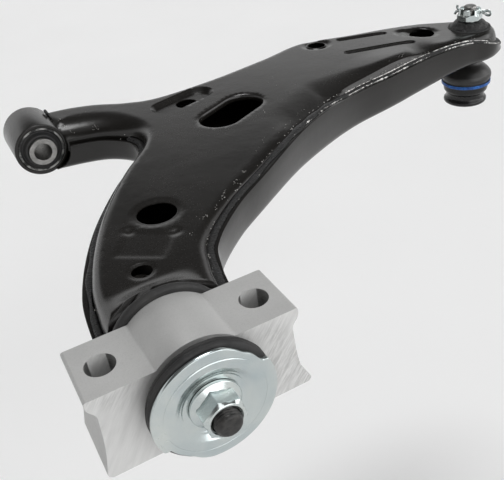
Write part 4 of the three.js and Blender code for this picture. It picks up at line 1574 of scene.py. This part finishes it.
def joint_boss():
    bottom, top = BOSS_LOW.z, BOSS_HIGH.z
    inner_low, inner_high = taper(bottom) + 0.15, taper(top) + 0.15
    profile = [
        (inner_low, bottom, 0.4), (BOSS_BARREL, bottom, 0.8), (BOSS_BARREL, top - 6.8, 0.4),
        (18.6, top - 7.0, 0.4), (18.0, top - 5.8, 0.8), (15.6, top - 3.4, 1.2), (13.4, top - 1.0, 1.0),
        (11.8, top, 0.6), (inner_high, top, 0.4),
    ]

    def shape(r, s, angle):
        if r < 13 or s < top - 6.5:
            return r, s
        rough = noise.noise((6 * math.cos(angle), 6 * math.sin(angle), s * 0.4)) * 0.5
        rough += noise.noise((17 * math.cos(angle), 17 * math.sin(angle), s)) * 0.25
        return r + rough, s + 0.3 * rough

    boss = turned("joint_boss_turning", about_joint, soften(profile, 0.5, 5), WELD, 144, shape, sharp=60)
    show(boss, "arm", "black_coated_steel", "ball_joint_boss")
    ring = 18.3
    path = [
        (BALL.x + ring * math.cos(a), BALL.y + ring * math.sin(a), top - 7.1)
        for a in np.arange(0, 2 * math.pi, 0.03)
    ]
    ripples = [1 + 0.1 * math.sin(i * 2.1) + 0.05 * math.sin(i * 0.31) for i in range(len(path))]
    size = len(path)

    def section(t):
        k = int(round(t * (size - 1)))
        return [(a * 1.7 * ripples[k], b * 1.4 * ripples[k]) for a, b in circle(1.0, 10)]

    points, faces = sweep(path, section, closed=True)
    weld = clean(mesh_object("boss_bead", points, faces, WELD), 60)
    show(weld, "arm", "weld_bead", "boss_weld")


def ball_stud():
    arc = ball_arc(BALL_RADIUS, -math.pi / 2, math.acos(STUD_NECK / BALL_RADIUS), 20)[1:]
    profile = [(0, BALL.z - BALL_RADIUS)] + arc + [
        (STUD_NECK, 0), (taper(5), 5), (taper(TAPER_TOP), TAPER_TOP), (6.0, TAPER_TOP + 0.6)
    ]
    profile += fine(TAPER_TOP + 1, STUD_TOP - 0.9, STUD_THREAD, THREAD_STEP) + [
        (5.2, STUD_TOP - 0.2), (4.8, STUD_TOP), (0, STUD_TOP)
    ]
    base = helix(STUD_THREAD, 0.55, THREAD_PITCH)

    def shape(r, s, angle):
        return base(r, s, angle) if s > TAPER_TOP + 0.8 and 5.9 < r < 6.1 else (r, s)

    stud = turned("ball_stud_turning", about_joint, profile, STEEL, 72, shape, closed=False, sharp=40)
    hole_points, hole_faces = sweep([(-12, 0, 0), (12, 0, 0)], circle(1.9, 16))
    carve(stud, cutter("cut_cross", about_cotter(hole_points), hole_faces))
    return show(stud, "arm", "bare_steel", "ball_stud")


def castle_nut():
    base, top = NUT_BASE, NUT_BASE + NUT_HEIGHT
    hexed = hexagon(21, COTTER_TURN)
    inner = 6.1
    profile = [
        (inner + 0.8, base, 0.2), (10.2, base, 0.4), (12.2, base + 1.2, 0.5),
        (12.2, top - SLOT_DEPTH - 1.5, 0.5), (10.4, top - SLOT_DEPTH + 0.1, 0.3),
        (10.0, top - 0.7, 0.3), (9.3, top, 0.4), (7.3, top, 0.3), (inner, top - 1.2, 0.3),
        (inner, base + 0.8, 0.2),
    ]

    def shape(r, s, angle):
        return (min(r, hexed(angle)) if r > 8.5 else r), s

    nut = turned("castle_nut_forging", about_joint, soften(profile, 0.4, 3), ZINC, 144, shape, sharp=24)
    for k in range(3):
        turn = COTTER_TURN + k * math.pi / 3
        points, faces = box_mesh((-20, -2, top - SLOT_DEPTH), (20, 2, top + 5), turn, (BALL.x, BALL.y))
        carve(nut, cutter("cut_slot", points, faces))
    bevel(nut, 0.25, 45, 2)
    clean(nut, 28)
    return show(nut, "arm", "zinc_plated_steel", "castle_nut")


def cotter_pin():
    """A split pin: an eye, two legs side by side through the nut, and the legs' bent ends."""
    long_leg = [
        (14.2, 0.9, -0.1), (12.0, 0.75, 0.1), (9, 0.7, 0), (0, 0.7, 0), (-8.8, 0.7, 0),
        (-10.9, 0.7, 0.5), (-12.2, 0.7, 1.9), (-12.6, 0.7, 3.2), (-12.4, 0.7, 4.6),
    ]
    short_leg = [
        (14.2, -0.9, -1.7), (12.0, -0.75, -0.5), (9, -0.7, 0), (0, -0.7, 0), (-8.8, -0.7, 0),
        (-11.2, -0.8, -0.3), (-13.2, -1.0, -1.5), (-14.0, -1.1, -3.4),
    ]
    loop = [
        (14.2 + 2.7 - 2.9 * math.cos(a), 0.9 * math.cos(a), 2.1 * math.sin(a) - 1.2)
        for a in np.linspace(0.5, 2 * math.pi - 0.5, 26)
    ]
    parts = []
    for path, steps in ((long_leg, 5), (short_leg, 5), (loop, 1)):
        points, faces = sweep(
            [tuple(p) for p in smooth_path(path, steps)],
            [(a * 0.75, b * 1.2) for a, b in circle(1.0, 12)],
        )
        parts.append((points, faces))
    points, faces = merge(parts)
    pin = clean(mesh_object("split_pin", about_cotter(points), faces, ZINC), 45)
    return show(pin, "arm", "zinc_plated_steel", "cotter_pin")


def ball_housing():
    bottom = -41.7
    mouth = ball_arc(CAVITY, math.asin(8 / CAVITY) + math.pi / 9, 0, 8)
    profile = [
        (CAVITY, bottom, 0.4), (18.8, bottom, 0.8), (20.8, bottom + 1.4, 1.2),
        (20.8, bottom + 3.8, 1.0), (18.5, bottom + 6.2, 2.4), (18.5, bottom + 10.2, 2.6),
        (21.5, bottom + 13.8, 2.4), (21.5, -17.2, 1.2), (19.2, -14, 1.2), (13.6, -13.6, 0.4),
    ]
    profile = soften(profile, 0.5, 5, closed=False) + [(13.5, -14.2)] + [m for m in mouth if m[0] > MOUTH]
    housing = turned("ball_housing_forging", about_joint, profile, BLACK_STEEL, 128, sharp=40)
    return show(housing, "housing", "black_steel", "ball_housing")


def dust_boot():
    """Two closed halves of one boot, split at its bulge."""
    outside = [
        (11.2, 5.6, 0.5), (11.45, 3.4, 0.6), (11.45, 1.2, 1.5), (13.2, -2.0, 2.2), (19.6, -6.4, 4.0),
        (23.4, -10.8, 3.0), (24.0, -13.0, 1.0), (24.0, -15.4, 1.5), (22.9, -17.6, 0.8),
        (22.9, -22.4, 0.5),
    ]
    outside = soften(outside, 1.0, 6, closed=False)
    inside_wall = [
        (21.9, -22.4), (21.9, -16.6), (22.3, -12.8), (18.2, -8.6), (12.4, -4.4), (9.2, 0.2), (8.9, 5.6)
    ]
    inside_wall = soften(inside_wall, 2.0, 4, closed=False)
    split = -13.0
    edge, inner_edge = (24.0, split), (22.3, split)
    upper = [p for p in outside if p[1] > split] + [edge, inner_edge]
    upper += [p for p in inside_wall if p[1] > split]
    lower = [edge] + [p for p in outside if p[1] < split]
    lower += [p for p in inside_wall if p[1] < split] + [inner_edge]
    top = turned("boot_upper_half", about_joint, upper, BOOT, 112, sharp=50)
    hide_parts("dust_boot")
    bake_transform(top)
    bottom = turned("boot_lower_half", about_joint, lower, BOOT, 112, sharp=50)
    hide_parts("dust_boot")
    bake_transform(bottom)


def boot_clips():
    for node, body, inner, wire in (
        ("boot_clip_upper", "boot_neck", 11.45, 0.75), ("boot_clip_lower", "housing", 22.95, 0.85)
    ):
        low, high = node_box(node)
        rounds = 2
        parts = []
        for k in range(rounds):
            z = low.z + (k + 0.5) * (high.z - low.z) / rounds
            half = (high.z - low.z) / rounds / 2 * 0.98
            profile = soften(
                [
                    (inner, z - half, 0.3), (inner + wire, z - half, 0.5), (inner + wire, z + half, 0.5),
                    (inner, z + half, 0.3),
                ],
                0.4, 3,
            )
            parts.append(revolve(profile, 112))
        points, faces = merge(parts)
        band = clean(mesh_object(node + "_spring", about_joint(points), faces, CLIP), 50)
        show(band, body, "blue_band", node)


def joint_inside():
    """The bearing parts inside the housing, which the closing plate covers."""
    inner = ball_arc(BALL_RADIUS + 0.15, math.radians(24), math.radians(-58), 14)
    outer = ball_arc(CAVITY - 0.15, 0, math.radians(21), 6)
    profile = inner + [(6.6, -37), (CAVITY - 0.15, -37)] + outer
    liner = turned("bearing_liner_moulding", about_joint, profile, LINER, 80)
    show(liner, "housing", "ivory_plastic", "bearing_liner")
    washer = turned(
        "preload_disc", about_joint, [(7, -38.3), (13.4, -38.6), (13.4, -37.7), (7, -37.4)], STEEL, 72
    )
    show(washer, "housing", "bare_steel", "preload_washer")
    profile = soften(
        [
            (0, -41), (5, -41.2, 2), (10.4, -41, 1.5), (12.8, -40.8, 1), (14.1, -40.3, 0.5),
            (14.1, -39, 0.3), (0, -39),
        ],
        0.4, 3, closed=False,
    )
    plate = turned("closing_plate_pressing", about_joint, profile, BLACK_STEEL, 80, closed=False)
    show(plate, "housing", "black_steel", "closing_plate")


# ---------------------------------------------------------------------------------------------- stage

FLOOR_Z = -480.0
CAMERA_PLACE = (-64.5, -245.8, 266.5)
CAMERA_RIGHT = Vector((0.874, -0.470, -0.117))
CAMERA_UP = Vector((0.354, 0.456, 0.816))
CAMERA_LENS, CAMERA_FILM = 49.6, 36.0
CAMERA_SHIFT = (0.001, 0.0074)


def camera():
    data = bpy.data.cameras.new("photo_camera")
    data.lens = CAMERA_LENS
    data.sensor_width = CAMERA_FILM
    data.sensor_fit = "HORIZONTAL"
    data.shift_x, data.shift_y = CAMERA_SHIFT
    data.clip_start = 0.01
    data.clip_end = 100
    obj = bpy.data.objects.new("photo_camera", data)
    bpy.context.scene.collection.objects.link(obj)
    right = CAMERA_RIGHT.normalized()
    back = right.cross(CAMERA_UP).normalized()
    up = back.cross(right)
    matrix = Matrix((right, up, back)).transposed().to_4x4()
    matrix.translation = Vector(CAMERA_PLACE) * MM
    obj.matrix_world = matrix
    bpy.context.scene.camera = obj


def floor_material():
    s = Shader("paper_floor")
    s.colour(s.mix(s.ramp(s.grain(2, 2), 0.3, 0.7), (0.93, 0.93, 0.93), (0.95, 0.95, 0.95)))
    s.rough(s.ramp(s.grain(40, 2), 0.3, 0.7, 0.85, 0.95))
    return s.material


def studio():
    half = 8000.0
    points = [
        (-half, -half, FLOOR_Z), (half, -half, FLOOR_Z), (half, half, FLOOR_Z), (-half, half, FLOOR_Z)
    ]
    floor = mesh_object("paper_floor", points, [(0, 1, 2, 3)], floor_material())
    bpy.context.scene.world = studio_world()


def studio_world():
    """A dim room: white walls low down, dark above them, and brighter overhead."""
    world = bpy.data.worlds.new("studio")
    world.use_nodes = True
    nodes, links = world.node_tree.nodes, world.node_tree.links
    place = nodes.new("ShaderNodeTexCoord")
    split = nodes.new("ShaderNodeSeparateXYZ")
    ramp = nodes.new("ShaderNodeValToRGB")
    links.new(place.outputs["Generated"], split.inputs["Vector"])
    links.new(split.outputs["Z"], ramp.inputs["Fac"])
    links.new(ramp.outputs["Color"], nodes["Background"].inputs["Color"])
    stops = ((0.0, 0.8), (0.24, 0.95), (0.33, 0.95), (0.42, 0.22), (0.52, 0.06), (0.85, 0.1), (0.97, 0.5))
    elements = ramp.color_ramp.elements
    while len(elements) < len(stops):
        elements.new(0.5)
    for element, (place_at, value) in zip(elements, stops):
        element.position = place_at
        element.color = (value, value, value, 1)
    nodes["Background"].inputs["Strength"].default_value = 1.0
    return world


def wide_light(name, heading, elevation, strength, width):
    """Light from a broad round patch of sky. Its heading, elevation and width are in degrees."""
    data = bpy.data.lights.new(name, "SUN")
    data.energy = strength
    data.angle = math.radians(width)
    obj = bpy.data.objects.new(name, data)
    bpy.context.scene.collection.objects.link(obj)
    a, e = math.radians(heading), math.radians(elevation)
    towards = Vector((math.cos(a) * math.cos(e), math.sin(a) * math.cos(e), math.sin(e)))
    obj.rotation_euler = towards.to_track_quat("Z", "Y").to_euler()


def lights():
    wide_light("overhead_softbox", 62, 74, 1.0, 22)
    wide_light("front_softbox", 285, 26, 1.35, 60)
    wide_light("side_softbox", 335, 24, 0.7, 40)


def build():
    upper_shell()
    lower_shell()
    seam_beads()
    eye_beads()
    spatter_and_glints()
    rear_bracket()
    rear_bush()
    cupped_washer()
    flange_nut()
    rear_pin()
    front_bush()
    joint_boss()
    ball_stud()
    castle_nut()
    cotter_pin()
    ball_housing()
    dust_boot()
    boot_clips()
    joint_inside()


build()
studio()
lights()
camera()
bpy.context.scene.view_settings.view_transform = "Standard"
